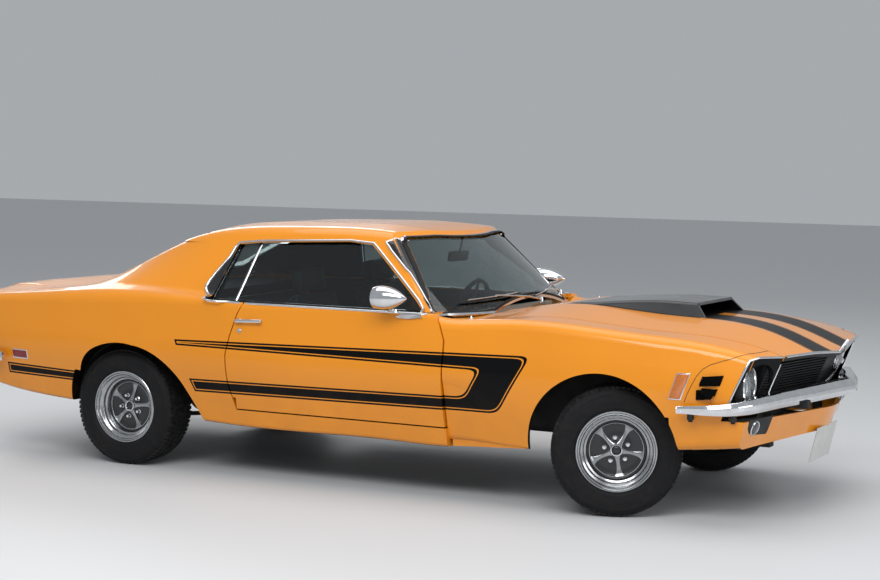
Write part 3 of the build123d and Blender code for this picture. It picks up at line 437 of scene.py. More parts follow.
plain_paint = paint("orange_lacquer", dark=cabin_lining)
flank_paint = paint("striped_lacquer", stripe=side_stripe, dark=cabin_lining)
hood_paint = paint("banded_lacquer", stripe=hood_stripe, dark=bonnet_underside_shade)
nose_paint = paint("nose_lacquer", dark=nose_recess)
cowl_paint = paint("cowl_lacquer", dark=under_cowl)
bright = chrome("bumper_chrome")
trim_chrome = chrome("trim_chrome", rough=0.09)
matt_black = satin("matt_black", BLACK, rough=0.55)
scoop_black = satin("scoop_black", (0.009, 0.009, 0.01), rough=0.28, grain=500.0, depth=0.0001, coat=0.6)
opening_shade_black = painted_opening_shade("opening_shade_black")
gloss_black = satin("gloss_black", (0.006, 0.006, 0.007), rough=0.12, grain=60.0, depth=0.0001, coat=0.8)
grille_black = satin("grille_black", (0.016, 0.017, 0.018), rough=0.38, metal=0.4)
under_black = satin("chassis_black", (0.014, 0.014, 0.014), rough=0.7, mottle=0.45)
steel = satin("bare_steel", STEEL, rough=0.42, metal=0.9, grain=90.0)
enamel = satin("engine_enamel", (0.012, 0.05, 0.16), rough=0.38, grain=120.0, depth=0.001, mottle=0.4)
moulded = satin("dash_vinyl", VINYL, rough=0.6, grain=380.0, depth=0.0008)
seal_rubber = satin("seal_rubber", (0.01, 0.01, 0.01), rough=0.72, grain=300.0)
side_glass = glazing("side_glass", (0.42, 0.48, 0.48))
screen_glass = glazing("screen_glass", (0.48, 0.55, 0.55))
seat_vinyl = hide("seat_vinyl", VINYL)
floor_carpet = carpet("floor_carpet", (0.012, 0.012, 0.012))
amber_lens = lens("amber_lens", AMBER, clear=0.25)
red_lens = lens("red_lens", RED, clear=0.3)
clear_lens = lens("lamp_lens", (0.86, 0.9, 0.92), ribs=110.0, clear=0.92)
plate_white = satin("plate_blank", (0.62, 0.62, 0.6), rough=0.35, grain=60.0, depth=0.0003, mottle=0.12)
# Darker than chrome: partly the wheel's own silver, partly painted shade for the rim's barrel in shadow
silver_with_shade = chrome("wheel_silver_with_shade", SILVER_WITH_SHADE, rough=0.17)
spoke_silver = chrome("spoke_silver", (0.4, 0.41, 0.42), rough=0.22)
mirror_silver = chrome("reflector_silver", (0.86, 0.87, 0.88), rough=0.05)
dish_black = satin("dish_black", (0.01, 0.01, 0.011), rough=0.3, grain=200.0, depth=0.0003, coat=0.5)
dial_face = satin("dial_face", (0.03, 0.032, 0.033), rough=0.3, grain=40.0, depth=0.0001, coat=0.6)

# What the fine pieces are made of: a finish and its slot
BRIGHT_TRIM = (trim_chrome, "chrome_trim")
REFLECTOR = (mirror_silver, "chrome_trim")
BLACK_TRIM = (matt_black, "black_paint")
GLOSS_TRIM = (gloss_black, "black_paint")
DISH_BLACK = (dish_black, "black_paint")
SEAL = (seal_rubber, "trim_plastic")
PLASTIC = (moulded, "trim_plastic")
BARE_STEEL = (steel, "steel_bare")
CHASSIS = (under_black, "dark_steel")
LAMP_LENS = (clear_lens, "lamp_lens")

NODE_FINISH = {
    "roof": plain_paint, "hood": hood_paint, "trunk_lid": plain_paint, "deck_panel": plain_paint,
    "tail_panel": plain_paint, "front_valance": plain_paint, "cowl_and_bulkhead": cowl_paint,
    "floor_and_sills": plain_paint, "rear_floor": under_black, "engine_bay": under_black,
    "front_suspension": under_black, "rear_axle": under_black, "driveline": under_black, "fuel_tank": under_black,
    "engine": enamel, "dashboard": moulded, "steering_wheel": moulded, "rear_seat": seat_vinyl,
    "front_bumper": bright, "rear_bumper": bright, "grille": grille_black, "hood_scoop": scoop_black,
    "windshield": screen_glass, "rear_window": screen_glass, "front_plate": plate_white,
}
PAIR_FINISH = {
    "door": flank_paint, "quarter_panel": flank_paint, "fender": flank_paint, "nose_cap": nose_paint,
    "door_glass": side_glass, "quarter_glass": side_glass, "door_mirror": bright, "headlamp": clear_lens,
    "tail_lamp": red_lens, "front_seat": seat_vinyl, "knuckle": under_black, "leaf_spring": under_black,
    "exhaust": steel, "front_rim": silver_with_shade, "rear_rim": silver_with_shade, "front_tyre": seal_rubber, "rear_tyre": seal_rubber,
}
for base, finish in PAIR_FINISH.items():
    for side, hand in SIDES:
        NODE_FINISH[f"{base}_{hand}"] = finish
for name, node in nodes.items():
    node.data.materials.clear()
    node.data.materials.append(NODE_FINISH[name])


def piece_of(name, bm, look, body="body", sharp=35.0, merge=1e-5):
    """Turns a bmesh into a finished piece that rides on a body."""
    finish, slot = look
    if merge:
        bmesh.ops.remove_doubles(bm, verts=bm.verts, dist=merge)
    bmesh.ops.recalc_face_normals(bm, faces=bm.faces)
    bmesh.ops.translate(bm, verts=bm.verts, vec=(MIDDLE, 0.0, 0.0))
    mesh = bpy.data.meshes.new(name)
    bm.to_mesh(mesh)
    bm.free()
    mesh.shade_smooth()
    mesh.set_sharp_from_angle(angle=math.radians(sharp))
    mesh.materials.append(finish)
    piece = bpy.data.objects.new(name, mesh)
    scene.collection.objects.link(piece)
    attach(piece, body)
    return piece


def fitted(name, look, *shapes, body="body", sharp=35.0):
    """One piece of several shapes: each is the function that adds it, with that function's values."""
    bm = bmesh.new()
    for add, *values in shapes:
        add(bm, *values)
    return piece_of(name, bm, look, body, sharp)


def spot(x, y, z, turn=0.0, axis="Y"):
    """A place, turned about an axis through it."""
    return Matrix.Translation((x, y, z)) @ Matrix.Rotation(turn, 4, axis)


def frame_at(place, forward, up=(0, 0, 1)):
    """A matrix whose X runs forward and whose Z lies toward up."""
    x = Vector(forward).normalized()
    y = Vector(up).cross(x).normalized()
    z = x.cross(y)
    return Matrix.Translation(place) @ Matrix((x, y, z)).transposed().to_4x4()


def add_box(bm, size, at, round_off=0.0, steps=2):
    """A rounded block in a bmesh."""
    made = bmesh.ops.create_cube(bm, size=1.0, matrix=at @ Matrix.Diagonal((*size, 1.0)))
    if round_off:
        edges = list({e for v in made["verts"] for e in v.link_edges})
        bmesh.ops.bevel(bm, geom=edges, offset=round_off, affect="EDGES", segments=steps, profile=0.5, material=-1)


def add_drum(bm, radius, length, at, steps=24, top=None):
    """A short cylinder along its own Z in a bmesh."""
    bmesh.ops.create_cone(bm, cap_ends=True, segments=steps, radius1=radius, radius2=radius if top is None else top,
                          depth=length, matrix=at)


def add_spun(bm, profile, at, steps=48):
    """A turned form in a bmesh: the closed profile is (radius, height) along the matrix's Y axis."""
    old = set(bm.verts)
    verts = [bm.verts.new((r, h, 0)) for r, h in profile]
    edges = [bm.edges.new((a, b)) for a, b in zip(verts, verts[1:] + verts[:1])]
    bmesh.ops.spin(bm, geom=verts + edges, cent=(0, 0, 0), axis=(0, 1, 0), angle=2 * math.pi, steps=steps,
                   use_merge=True)
    bmesh.ops.remove_doubles(bm, verts=[v for v in bm.verts if v not in old], dist=1e-5)
    bmesh.ops.transform(bm, matrix=at, verts=[v for v in bm.verts if v not in old])


def add_walls(bm, rings):
    """Walls between rings of vertices, closed at both ends."""
    for a, b in zip(rings, rings[1:]):
        for j in range(len(a)):
            k = (j + 1) % len(a)
            bm.faces.new((a[j], a[k], b[k], b[j]))
    bm.faces.new(rings[0][::-1])
    bm.faces.new(rings[-1])


def tube(name, points, radius, look=BRIGHT_TRIM, body="body", flat=1.0):
    """A bead of trim along a line; flat squeezes its section."""
    section = bpy.data.curves.new(name + "_section", "CURVE")
    spline = section.splines.new("POLY")
    spline.points.add(11)
    for i, p in enumerate(spline.points):
        a = i * math.pi / 6
        p.co = (radius * math.cos(a), radius * flat * math.sin(a), 0, 1)
    spline.use_cyclic_u = True
    section_piece = bpy.data.objects.new(name + "_section", section)
    curve = bpy.data.curves.new(name, "CURVE")
    curve.dimensions = "3D"
    curve.twist_mode = "Z_UP"
    curve.bevel_mode = "OBJECT"
    curve.bevel_object = section_piece
    curve.use_fill_caps = True
    run = curve.splines.new("POLY")
    run.points.add(len(points) - 1)
    for p, at in zip(run.points, points):
        p.co = (*at, 1)
    line = bpy.data.objects.new(name, curve)
    scene.collection.objects.link(line)
    bpy.context.view_layer.update()
    mesh = bpy.data.meshes.new_from_object(line.evaluated_get(bpy.context.evaluated_depsgraph_get()))
    bm = bmesh.new()
    bm.from_mesh(mesh)
    bpy.data.objects.remove(line)
    bpy.data.objects.remove(section_piece)
    return piece_of(name, bm, look, body, sharp=50.0)


def copy_of(*names):
    """The named nodes' surfaces in one bmesh, about the middle of the wheelbase."""
    bm = bmesh.new()
    for name in names:
        bm.from_mesh(nodes[name].data)
    bmesh.ops.translate(bm, verts=bm.verts, vec=(-MIDDLE, 0.0, 0.0))
    return bm


def skin_of(*names):
    """A tree of the named nodes' surfaces, to set trim against."""
    bm = copy_of(*names)
    tree = BVHTree.FromBMesh(bm)
    bm.free()
    return tree


flank = {hand: skin_of("roof", *(f"{part}_{hand}" for part in ("quarter_panel", "door", "fender", "nose_cap")))
         for side, hand in SIDES}
topside = skin_of("hood", "nose_cap_left", "nose_cap_right", "roof", "trunk_lid", "fender_left", "fender_right",
                  "cowl_and_bulkhead", "quarter_panel_left", "quarter_panel_right", "hood_scoop")


# Places well outside the car, from which its skin is sought, and where it stands if nothing is met
BESIDE, OVERHEAD = 1.5, 2.0
USUAL_HALF, USUAL_TOP = 0.9, 0.9


def at_side(x, z, hand, out=0.0):
    """The point of the flank at this place, set out by a distance."""
    side = 1 if hand == "left" else -1
    hit = flank[hand].ray_cast(Vector((x, side * BESIDE, z)), Vector((0, -side, 0)))
    return hit[0] + Vector((0, side * out, 0)) if hit[0] else Vector((x, side * USUAL_HALF, z))


def at_top(x, y):
    """The point of the upper side at this place."""
    hit = topside.ray_cast(Vector((x, y, OVERHEAD)), Vector((0, 0, -1)))
    return hit[0] if hit[0] else Vector((x, y, USUAL_TOP))


def on_skin(p, hand, out):
    """The nearest point of the flank, set out by a distance."""
    nearest, normal = flank[hand].find_nearest(p)[:2]
    return nearest + normal * out


def dense(points, gap=0.03):
    """Points filled in along straight runs."""
    line = []
    for a, b in zip(points, points[1:]):
        steps = max(1, round(math.dist(a, b) / gap))
        line += [tuple(p + (q - p) * i / steps for p, q in zip(a, b)) for i in range(steps)]
    return line + [points[-1]]


def skin_band(name, outer, inner, hand, lift, across, thick=0.001):
    """A thin black band on the flank between two lines with as many points."""
    bm = bmesh.new()
    sheets = []
    for height in (lift, lift - thick):
        rows = []
        for a, b in zip(outer, inner):
            line = [on_skin(Vector(a).lerp(Vector(b), i / across), hand, height) for i in range(across + 1)]
            rows.append([bm.verts.new(p) for p in line])
        sheets.append(rows)
    top, low = sheets
    for sheet in sheets:
        for a, b in zip(sheet, sheet[1:]):
            for j in range(across):
                ring = (a[j], a[j + 1], b[j + 1], b[j])
                bm.faces.new(ring if sheet is top else ring[::-1])
    last = len(top) - 1
    rim = [(row, 0) for row in range(last + 1)] + [(last, j) for j in range(1, across + 1)]
    rim += [(row, across) for row in range(last - 1, -1, -1)] + [(0, j) for j in range(across - 1, 0, -1)]
    for (r1, j1), (r2, j2) in zip(rim, rim[1:] + rim[:1]):
        bm.faces.new((top[r1][j1], low[r1][j1], low[r2][j2], top[r2][j2]))
    return piece_of(name, bm, GLOSS_TRIM, sharp=40)


# Chrome round the side windows and along the belt, from the side as (x, z). Its rear line runs outside a black band,
# which fills the space between QUARTER_LINE and the pane's rear edge
QUARTER_CURVE = [(-0.792, 1.172), (-0.808, 1.1209), (-0.8354, 1.0801), (-0.8593, 1.0426), (-0.8828, 0.9996),
                 (-0.8923, 0.974), (-0.89, 0.956), (-0.872, 0.938)]
WINDOW_LINE = [(0.412, 0.9), (0.356, 0.956), (0.022, 1.219), (-0.12, 1.229), (-0.64, 1.209), (-0.77, 1.196),
               *QUARTER_CURVE, (-0.85, 0.927), (-0.825, 0.9185)]
QUARTER_LINE = [(-0.785, 1.187), *QUARTER_CURVE, (-0.855, 0.929)]
PANE_REAR = [(-0.766, 1.19), (-0.7725, 1.17), (-0.784, 1.121), (-0.794, 1.08), (-0.8035, 1.0426),
             (-0.8135, 0.9996), (-0.8195, 0.974), (-0.824, 0.956), (-0.828, 0.938), (-0.83, 0.929)]
QUARTER_BELT = [(-0.846, 0.918), (-0.8, 0.905), (-0.625, 0.899)]
DOOR_BELT = [(-0.59, BELT_Z - 0.004), (0.45, BELT_Z - 0.004)]
TRIM_OUT = 0.001
for side, hand in SIDES:
    outer = [at_side(x, z, hand) for x, z in QUARTER_LINE]
    inner = [Vector((x, edge.y, z)) for (x, z), edge in zip(PANE_REAR, outer)]
    skin_band(f"quarter_band_{hand}", outer, inner, hand, 0.0012, across=6)
    for name, line, gap, radius, flat, body in (("window_trim", WINDOW_LINE, 0.03, 0.008, 0.8, "body"),
                                                ("door_belt", DOOR_BELT, 0.08, 0.006, 1.0, f"door_{hand}"),
                                                ("quarter_belt", QUARTER_BELT, 0.03, 0.006, 1.0, "body")):
        points = [at_side(x, z, hand, TRIM_OUT) for x, z in dense(line, gap)]
        tube(f"{name}_{hand}", points, radius, body=body, flat=flat)

# Wheels: a stepped bright ring, a black dish with five bright spokes, nuts and cap, and a tyre with tread blocks.
# Profiles are (radius, place along the axle, outwards)
RING = [(0.1905, 0.086), (0.191, 0.096), (0.1885, 0.098), (0.1835, 0.0975), (0.1815, 0.092), (0.1795, 0.0895),
        (0.1765, 0.0905), (0.1725, 0.0895), (0.169, 0.08), (0.166, 0.077), (0.158, 0.0735), (0.155, 0.07),
        (0.152, 0.057), (0.148, 0.054), (0.143, 0.0515), (0.1405, 0.038), (0.137, 0.031), (0.1365, 0.013),
        (0.15, 0.006), (0.152, -0.06), (0.168, -0.072), (0.173, -0.088), (0.185, -0.094), (0.1905, -0.0975),
        (0.191, -0.094), (0.183, -0.089), (0.1765, -0.08), (0.1765, -0.062), (0.162, -0.05), (0.162, 0.04),
        (0.172, 0.058), (0.1765, 0.066), (0.1765, 0.082), (0.184, 0.087)]
DISH = [(0.138, 0.034), (0.131, 0.0325), (0.1265, 0.028), (0.116, 0.024), (0.1, 0.022), (0.08, 0.022),
        (0.064, 0.025), (0.046, 0.031), (0.034, 0.035), (0.02, 0.0355), (0.018, 0.026), (0.05, 0.014),
        (0.115, 0.014), (0.138, 0.02)]
CAP = [(0.0004, 0.048), (0.012, 0.0476), (0.018, 0.0455), (0.0205, 0.042), (0.021, 0.0345), (0.0004, 0.034)]
CAP_RING = [(0.0205, 0.0345), (0.0208, 0.048), (0.0235, 0.0515), (0.028, 0.0505), (0.0305, 0.046),
            (0.0315, 0.0345)]
SPOKE_END = [(0.1215, 0.028), (0.1228, 0.035), (0.125, 0.0375), (0.1285, 0.037), (0.13, 0.031)]
TYRE = [(0.1795, 0.078), (0.186, 0.0885), (0.1925, 0.0915), (0.1985, 0.0975), (0.206, 0.1015), (0.208, 0.1035),
        (0.2105, 0.103), (0.223, 0.1062), (0.24, 0.1078), (0.256, 0.1072), (0.269, 0.1042), (0.2715, 0.105),
        (0.274, 0.103), (0.285, 0.0975), (0.2935, 0.0905), (0.2995, 0.08), (0.3022, 0.06), (0.3032, 0.03),
        (0.3035, 0.0)]
BEAD = [(0.179, -0.06), (0.179, 0.06)]
# A spoke's radius and half width, and how high it stands there
SPOKES = 5
SPOKE_HALF = [(0.024, 0.015), (0.04, 0.0098), (0.065, 0.0078), (0.09, 0.0092), (0.106, 0.0125), (0.116, 0.0175),
              (0.124, 0.026)]
SPOKE_RISE = [0.044, 0.041, 0.0345, 0.0305, 0.031, 0.0335, 0.0375]
SPOKE_DEPTH, SPOKE_EDGE, SPOKE_FLAT = 0.014, 0.002, 0.62
# The angle of the first spoke, in degrees
SPOKE_START = {"front_right": 98, "rear_right": 114, "front_left": 100, "rear_left": 94}
NUT_CIRCLE, NUT_SEAT = 0.058, 0.034
# Tread blocks: place across, width and phase of each row
TREAD_ROWS = ((-0.078, 0.022, 0.0), (-0.041, 0.026, 0.5), (0.0, 0.024, 0.0), (0.041, 0.026, 0.5),
              (0.078, 0.022, 0.0))
TREAD_AROUND = 76
TREAD_RADIUS, TREAD_DEPTH, TREAD_LONG = 0.3078, 0.008, 0.0185
SHOULDER = 0.07


def spoke(at, angle):
    """The rings of one flared spoke, raised above the dish."""
    turn = at @ Matrix.Rotation(angle, 4, "Y")
    rings = []
    for (r, half), rise in zip(SPOKE_HALF, SPOKE_RISE):
        base, edge, flat = rise - SPOKE_DEPTH, rise - SPOKE_EDGE, half * SPOKE_FLAT
        section = ((-half, base), (-half, edge), (-flat, rise), (flat, rise), (half, edge), (half, base))
        rings.append([turn @ Vector((r, h, w)) for w, h in section])
    return rings


def tread_block(at, across, i, phase):
    """Where one tread block sits on the tyre."""
    top = TREAD_RADIUS - 0.0016 * abs(across) / 0.04
    lean = 0.3 if across == 0 else 0.22 * math.copysign(1, across)
    turn = Matrix.Rotation(2 * math.pi * (i + phase) / TREAD_AROUND, 4, "Y")
    block_at = at @ turn @ spot(top - TREAD_DEPTH / 2, across, 0, lean, "X")
    if abs(across) > SHOULDER:
        block_at = block_at @ Matrix.Rotation(math.copysign(0.2, across), 4, "Z")
    return block_at


def dress_wheel(place, hand, centre, turn):
    """Ring, dish, spokes, cap, nuts and tyre of one wheel, about the matrix whose Y is the axle, outwards."""
    name = f"{place}_{hand}"
    body = f"{place}_wheel_{hand}"
    at = Matrix.Translation(centre) @ Matrix.Rotation(turn + (0 if hand == "left" else math.pi), 4, "Z")
    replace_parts(fitted(f"rim_ring_{name}", (silver_with_shade, "rim_finish"), (add_spun, RING, at, 72), body=body, sharp=28),
                f"{place}_rim_{hand}")
    fitted(f"rim_dish_{name}", DISH_BLACK, (add_spun, DISH, at, 60), body=body)
    bm = bmesh.new()
    start = SPOKE_START[name]
    for i in range(SPOKES):
        rings = spoke(at, math.radians(start + 360 / SPOKES * i))
        add_walls(bm, [[bm.verts.new(p) for p in ring] for ring in rings])
    add_spun(bm, SPOKE_END, at, 72)
    piece_of(f"rim_spokes_{name}", bm, (spoke_silver, "rim_finish"), body, sharp=40)
    fitted(f"centre_cap_{name}", DISH_BLACK, (add_spun, CAP, at, 32), body=body, sharp=40)
    nuts = []
    for i in range(SPOKES):
        turned = at @ Matrix.Rotation(math.radians(start + 360 / SPOKES * (i + 0.5)), 4, "Y")
        foot = turned @ spot(NUT_CIRCLE, NUT_SEAT, 0, QUARTER, "X")
        nuts += [(add_drum, 0.01, 0.004, foot @ spot(0, 0, 0.006), 20),
                 (add_drum, 0.008, 0.016, foot @ spot(0, 0, -0.003), 6),
                 (add_drum, 0.007, 0.004, foot @ spot(0, 0, -0.014), 12, 0.008)]
    fitted(f"lug_nuts_{name}", BRIGHT_TRIM, (add_spun, CAP_RING, at, 32), *nuts, body=body, sharp=25)
    bm = bmesh.new()
    add_spun(bm, TYRE + [(r, -w) for r, w in TYRE[-2::-1]] + BEAD, at, 96)
    for across, wide, phase in TREAD_ROWS:
        for i in range(TREAD_AROUND):
            block = tread_block(at, across, i, phase) @ Matrix.Diagonal((TREAD_DEPTH, wide, TREAD_LONG, 1.0))
            bmesh.ops.create_cube(bm, size=1.0, matrix=block)
    rubber = (wheel_rubber(f"tyre_rubber_{name}", centre, turn), "rubber_tread")
    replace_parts(piece_of(f"tyre_{name}", bm, rubber, body, sharp=32, merge=0), f"{place}_tyre_{hand}")


for side, hand in SIDES:
    off = WHEEL_Y - KINGPIN_Y
    steered = (AXLE_FRONT - side * off * math.sin(STEERED), side * (KINGPIN_Y + off * math.cos(STEERED)), AXLE_Z)
    dress_wheel("front", hand, steered, STEERED)
    dress_wheel("rear", hand, (AXLE_REAR, side * WHEEL_Y, AXLE_Z), 0.0)

# Headlamps: a chrome ring round a ribbed glass, with a bright bowl behind it, in a black well
LAMP_GLASS = [(0.0005, 0.026), (0.02, 0.0255), (0.04, 0.0235), (0.058, 0.0195), (0.07, 0.0145), (0.078, 0.008),
              (0.078, 0.003), (0.06, 0.013), (0.04, 0.018), (0.02, 0.0205), (0.0005, 0.021)]
LAMP_BOWL = [(0.078, 0.002), (0.07, -0.016), (0.055, -0.034), (0.035, -0.048), (0.012, -0.055), (0.0005, -0.056),
             (0.0005, -0.06), (0.014, -0.059), (0.038, -0.052), (0.059, -0.037), (0.075, -0.018), (0.083, 0.001)]
LAMP_RING = [(0.0765, 0.004), (0.077, 0.012), (0.08, 0.017), (0.0845, 0.0185), (0.0885, 0.016), (0.0905, 0.008),
             (0.09, 0.0), (0.078, 0.0)]
LAMP_WELL = [(0.0895, 0.0), (0.0985, 0.004), (0.1006, 0.012), (0.1006, -0.05), (0.0895, -0.05)]
for side, hand in SIDES:
    x, y, z = LAMP_PLACE
    at = spot(x, side * y, z, -QUARTER, "Z")
    for name, profile, look in (("glass", LAMP_GLASS, LAMP_LENS), ("bowl", LAMP_BOWL, REFLECTOR),
                                ("ring", LAMP_RING, BRIGHT_TRIM), ("well", LAMP_WELL, BLACK_TRIM)):
        piece = fitted(f"headlamp_{name}_{hand}", look, (add_spun, profile, at, 56), sharp=40)
        if name == "glass":
            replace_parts(piece, f"headlamp_{hand}")

# The nose's face from above as (x, y) at NOSE_Z; it leans back below that
NOSE_LINE = [(2.262, 0.0), (2.158, 0.62), (2.068, 0.805), (2.046, 0.9)]
NOSE_Z, NOSE_LEAN = 0.78, 0.4
GRILLE_HALF = 0.604
GRILLE_FOOT_Z = 0.586
LIP_TOP = 0.815


def nose_x(y, z):
    """Where the nose's face stands."""
    y = abs(y)
    for (xa, ya), (xb, yb) in zip(NOSE_LINE, NOSE_LINE[1:]):
        if y <= yb:
            return xa + (xb - xa) * (y - ya) / (yb - ya) - (NOSE_Z - z) * NOSE_LEAN
    return NOSE_LINE[-1][0] - (NOSE_Z - z) * NOSE_LEAN


def lip_point(y, inset=0.012):
    """A point of the bright lip, just under the top edge of the bonnet and the nose caps."""
    z = NOSE_Z
    for _ in range(4):
        z = min(at_top(nose_x(y, z) - inset, y).z, LIP_TOP)
    return Vector((nose_x(y, z) - 0.001, y, z - 0.004))


# Chrome lip along the bonnet's edge, over the nose caps, down the outer side of the lamps, and at the grille's ends
BONNET_WIDTH = [i * 0.0408 - 0.612 for i in range(31)]
CAP_FROM, CAP_STEP, DOWN_FROM, DOWN_STEP = 0.636, 0.014, 0.012, 0.0165
tube("hood_lip", [lip_point(y) for y in BONNET_WIDTH], 0.0085, body="hood", flat=0.8)
for side, hand in SIDES:
    over = [lip_point(side * (CAP_FROM + CAP_STEP * i), inset=0.008) for i in range(11)]
    down = []
    for i in range(14):
        z = over[-1].z - DOWN_FROM - DOWN_STEP * i
        down.append(at_side(nose_x(0.84, z) - 0.01, z, hand) + Vector((0.009, -side * 0.004, 0)))
    tube(f"lamp_surround_{hand}", over + down, 0.0065, flat=0.8)
    inner = [Vector((nose_x(GRILLE_HALF + 0.02, z) - 0.004, side * (GRILLE_HALF + 0.018), z))
             for z in (0.745, 0.7, 0.65, 0.6, 0.575)]
    tube(f"grille_end_trim_{hand}", inner, 0.0045)

# The seam between nose cap and fender, and the bright foot of the grille
NOSE_SEAM = [(2.0816, 0.6344, 0.8021), (2.058, 0.7215, 0.799), (2.0277, 0.8, 0.7948), (1.9824, 0.8308, 0.7789),
             (1.9264, 0.8439, 0.7607), (1.8827, 0.8524, 0.7451), (1.8528, 0.8597, 0.7257), (1.8281, 0.8678, 0.6953),
             (1.8079, 0.8747, 0.6561), (1.787, 0.8792, 0.6097), (1.7739, 0.8797, 0.5724)]
for side, hand in SIDES:
    line = [on_skin(Vector((x, side * y, z)), hand, 0.0001) for x, y, z in dense(NOSE_SEAM, 0.02)]
    tube(f"nose_seam_{hand}", line, 0.0014, BLACK_TRIM)
tube("grille_foot_trim", [Vector((nose_x(y, GRILLE_FOOT_Z) - 0.03, y, GRILLE_FOOT_Z)) for y in BONNET_WIDTH], 0.006)


def side_plate(name, outline, hand, thick, look=BRIGHT_TRIM, body="body", sink=0.004, soften=0.0025, spread=0.0):
    """A flat fitting on the flank: its outline as (x, z), standing out by thick. Spread looks past openings."""
    side = 1 if hand == "left" else -1
    bm = bmesh.new()
    foot = []
    for x, z in outline:
        near = [at_side(x + dx * spread, z + dz * spread, hand).y
                for dx, dz in ((0, 0), (1, 0), (-1, 0), (0, 1), (0, -1))]
        foot.append(bm.verts.new((x, side * (max(abs(y) for y in near) - sink), z)))
    face = bm.faces.new(foot)
    out = bmesh.ops.extrude_face_region(bm, geom=[face])
    tips = [v for v in out["geom"] if isinstance(v, bmesh.types.BMVert)]
    bmesh.ops.translate(bm, verts=tips, vec=(0, side * (thick + sink), 0))
    if soften:
        rim = [e for e in bm.edges if all(v in tips for v in e.verts)]
        bmesh.ops.bevel(bm, geom=rim, offset=soften, affect="EDGES", segments=2, profile=0.5, material=-1)
    return piece_of(name, bm, look, body, sharp=30)


def grown(outline, d):
    """An outline moved outwards from its middle."""
    cx = sum(x for x, z in outline) / len(outline)
    cz = sum(z for x, z in outline) / len(outline)
    return [(x + math.copysign(d, x - cx), z + math.copysign(d, z - cz)) for x, z in outline]


# The search for the flank's lower edge runs down in steps, and looks no deeper than the wheel house
SEARCH_FROM, SEARCH_TO, SEARCH_STEP, SEARCH_DEPTH = 0.4, 0.15, 0.002, 0.75


def low_edge(x, side, hand):
    """The lowest height at which the flank is met at this place."""
    z = SEARCH_FROM
    while z > SEARCH_TO:
        if not flank[hand].ray_cast(Vector((x, side * BESIDE, z)), Vector((0, -side, 0)), SEARCH_DEPTH)[0]:
            break
        z -= SEARCH_STEP
    return z + 0.003


# The fender's foot fills the step beside the sill, from the door forward to the arch
FOOT_FROM, FOOT_TO = (0.574, 0.262), 0.975
FOOT_STEPS = 12
FOOT_LAP = 0.004
for side, hand in SIDES:
    bm = bmesh.new()
    rings = []
    for i in range(FOOT_STEPS + 1):
        x = FOOT_FROM[0] + (FOOT_TO - FOOT_FROM[0]) * i / FOOT_STEPS
        top = low_edge(x, side, hand)
        low = min(top - 0.0005, FOOT_FROM[1] + (low_edge(FOOT_TO, side, hand) - FOOT_FROM[1]) * i / FOOT_STEPS)
        y = at_side(x, top + FOOT_LAP, hand).y
        rings.append([bm.verts.new((x, y + side * dy, z)) for dy, z in
                      ((0.0006, top + FOOT_LAP), (-0.004, low), (-0.03, low), (-0.03, top + FOOT_LAP))])
    add_walls(bm, rings)
    piece_of(f"fender_foot_{hand}", bm, (plain_paint, "body_paint"))


def stood_off(p, side, out, turn=0.0):
    """A place beside a point of the flank, set out by a distance."""
    return spot(p.x, p.y + side * out, p.z, turn, "X")


# Markers, gill recesses shown by black plates of painted shade, mirror feet, door handles and locks, and the bar
# between the door's and the quarter's pane
GILLS = {"upper": [(1.8693, 0.6955), (1.9503, 0.7019), (1.9358, 0.6548), (1.8496, 0.6497)],
         "lower": [(1.8367, 0.6331), (1.9276, 0.6409), (1.9068, 0.5947), (1.8292, 0.5852)]}
MIRROR_FOOT = [(0.285, 0.88), (0.318, 0.895), (0.415, 0.8925), (0.429, 0.8825), (0.362, 0.8725),
               (0.295, 0.8735)]
FRONT_MARKER = [(1.7395, 0.696), (1.793, 0.6965), (1.752, 0.585), (1.703, 0.586)]
REAR_MARKER = [(-2.078, 0.574), (-1.984, 0.572), (-1.984, 0.534), (-2.078, 0.536)]
MARKERS = {"front": (FRONT_MARKER, 0.006, (amber_lens, "lamp_lens")),
           "rear": (REAR_MARKER, 0.007, (red_lens, "red_lens"))}
HANDLE_REAR, HANDLE_FRONT, LOCK_PLACE = (-0.61, 0.812), (-0.492, 0.816), (-0.606, 0.762)
PANE_BAR_LOW, PANE_BAR_HIGH = (-0.697, 0.806, 0.904), (-0.65, 0.628, 1.194)
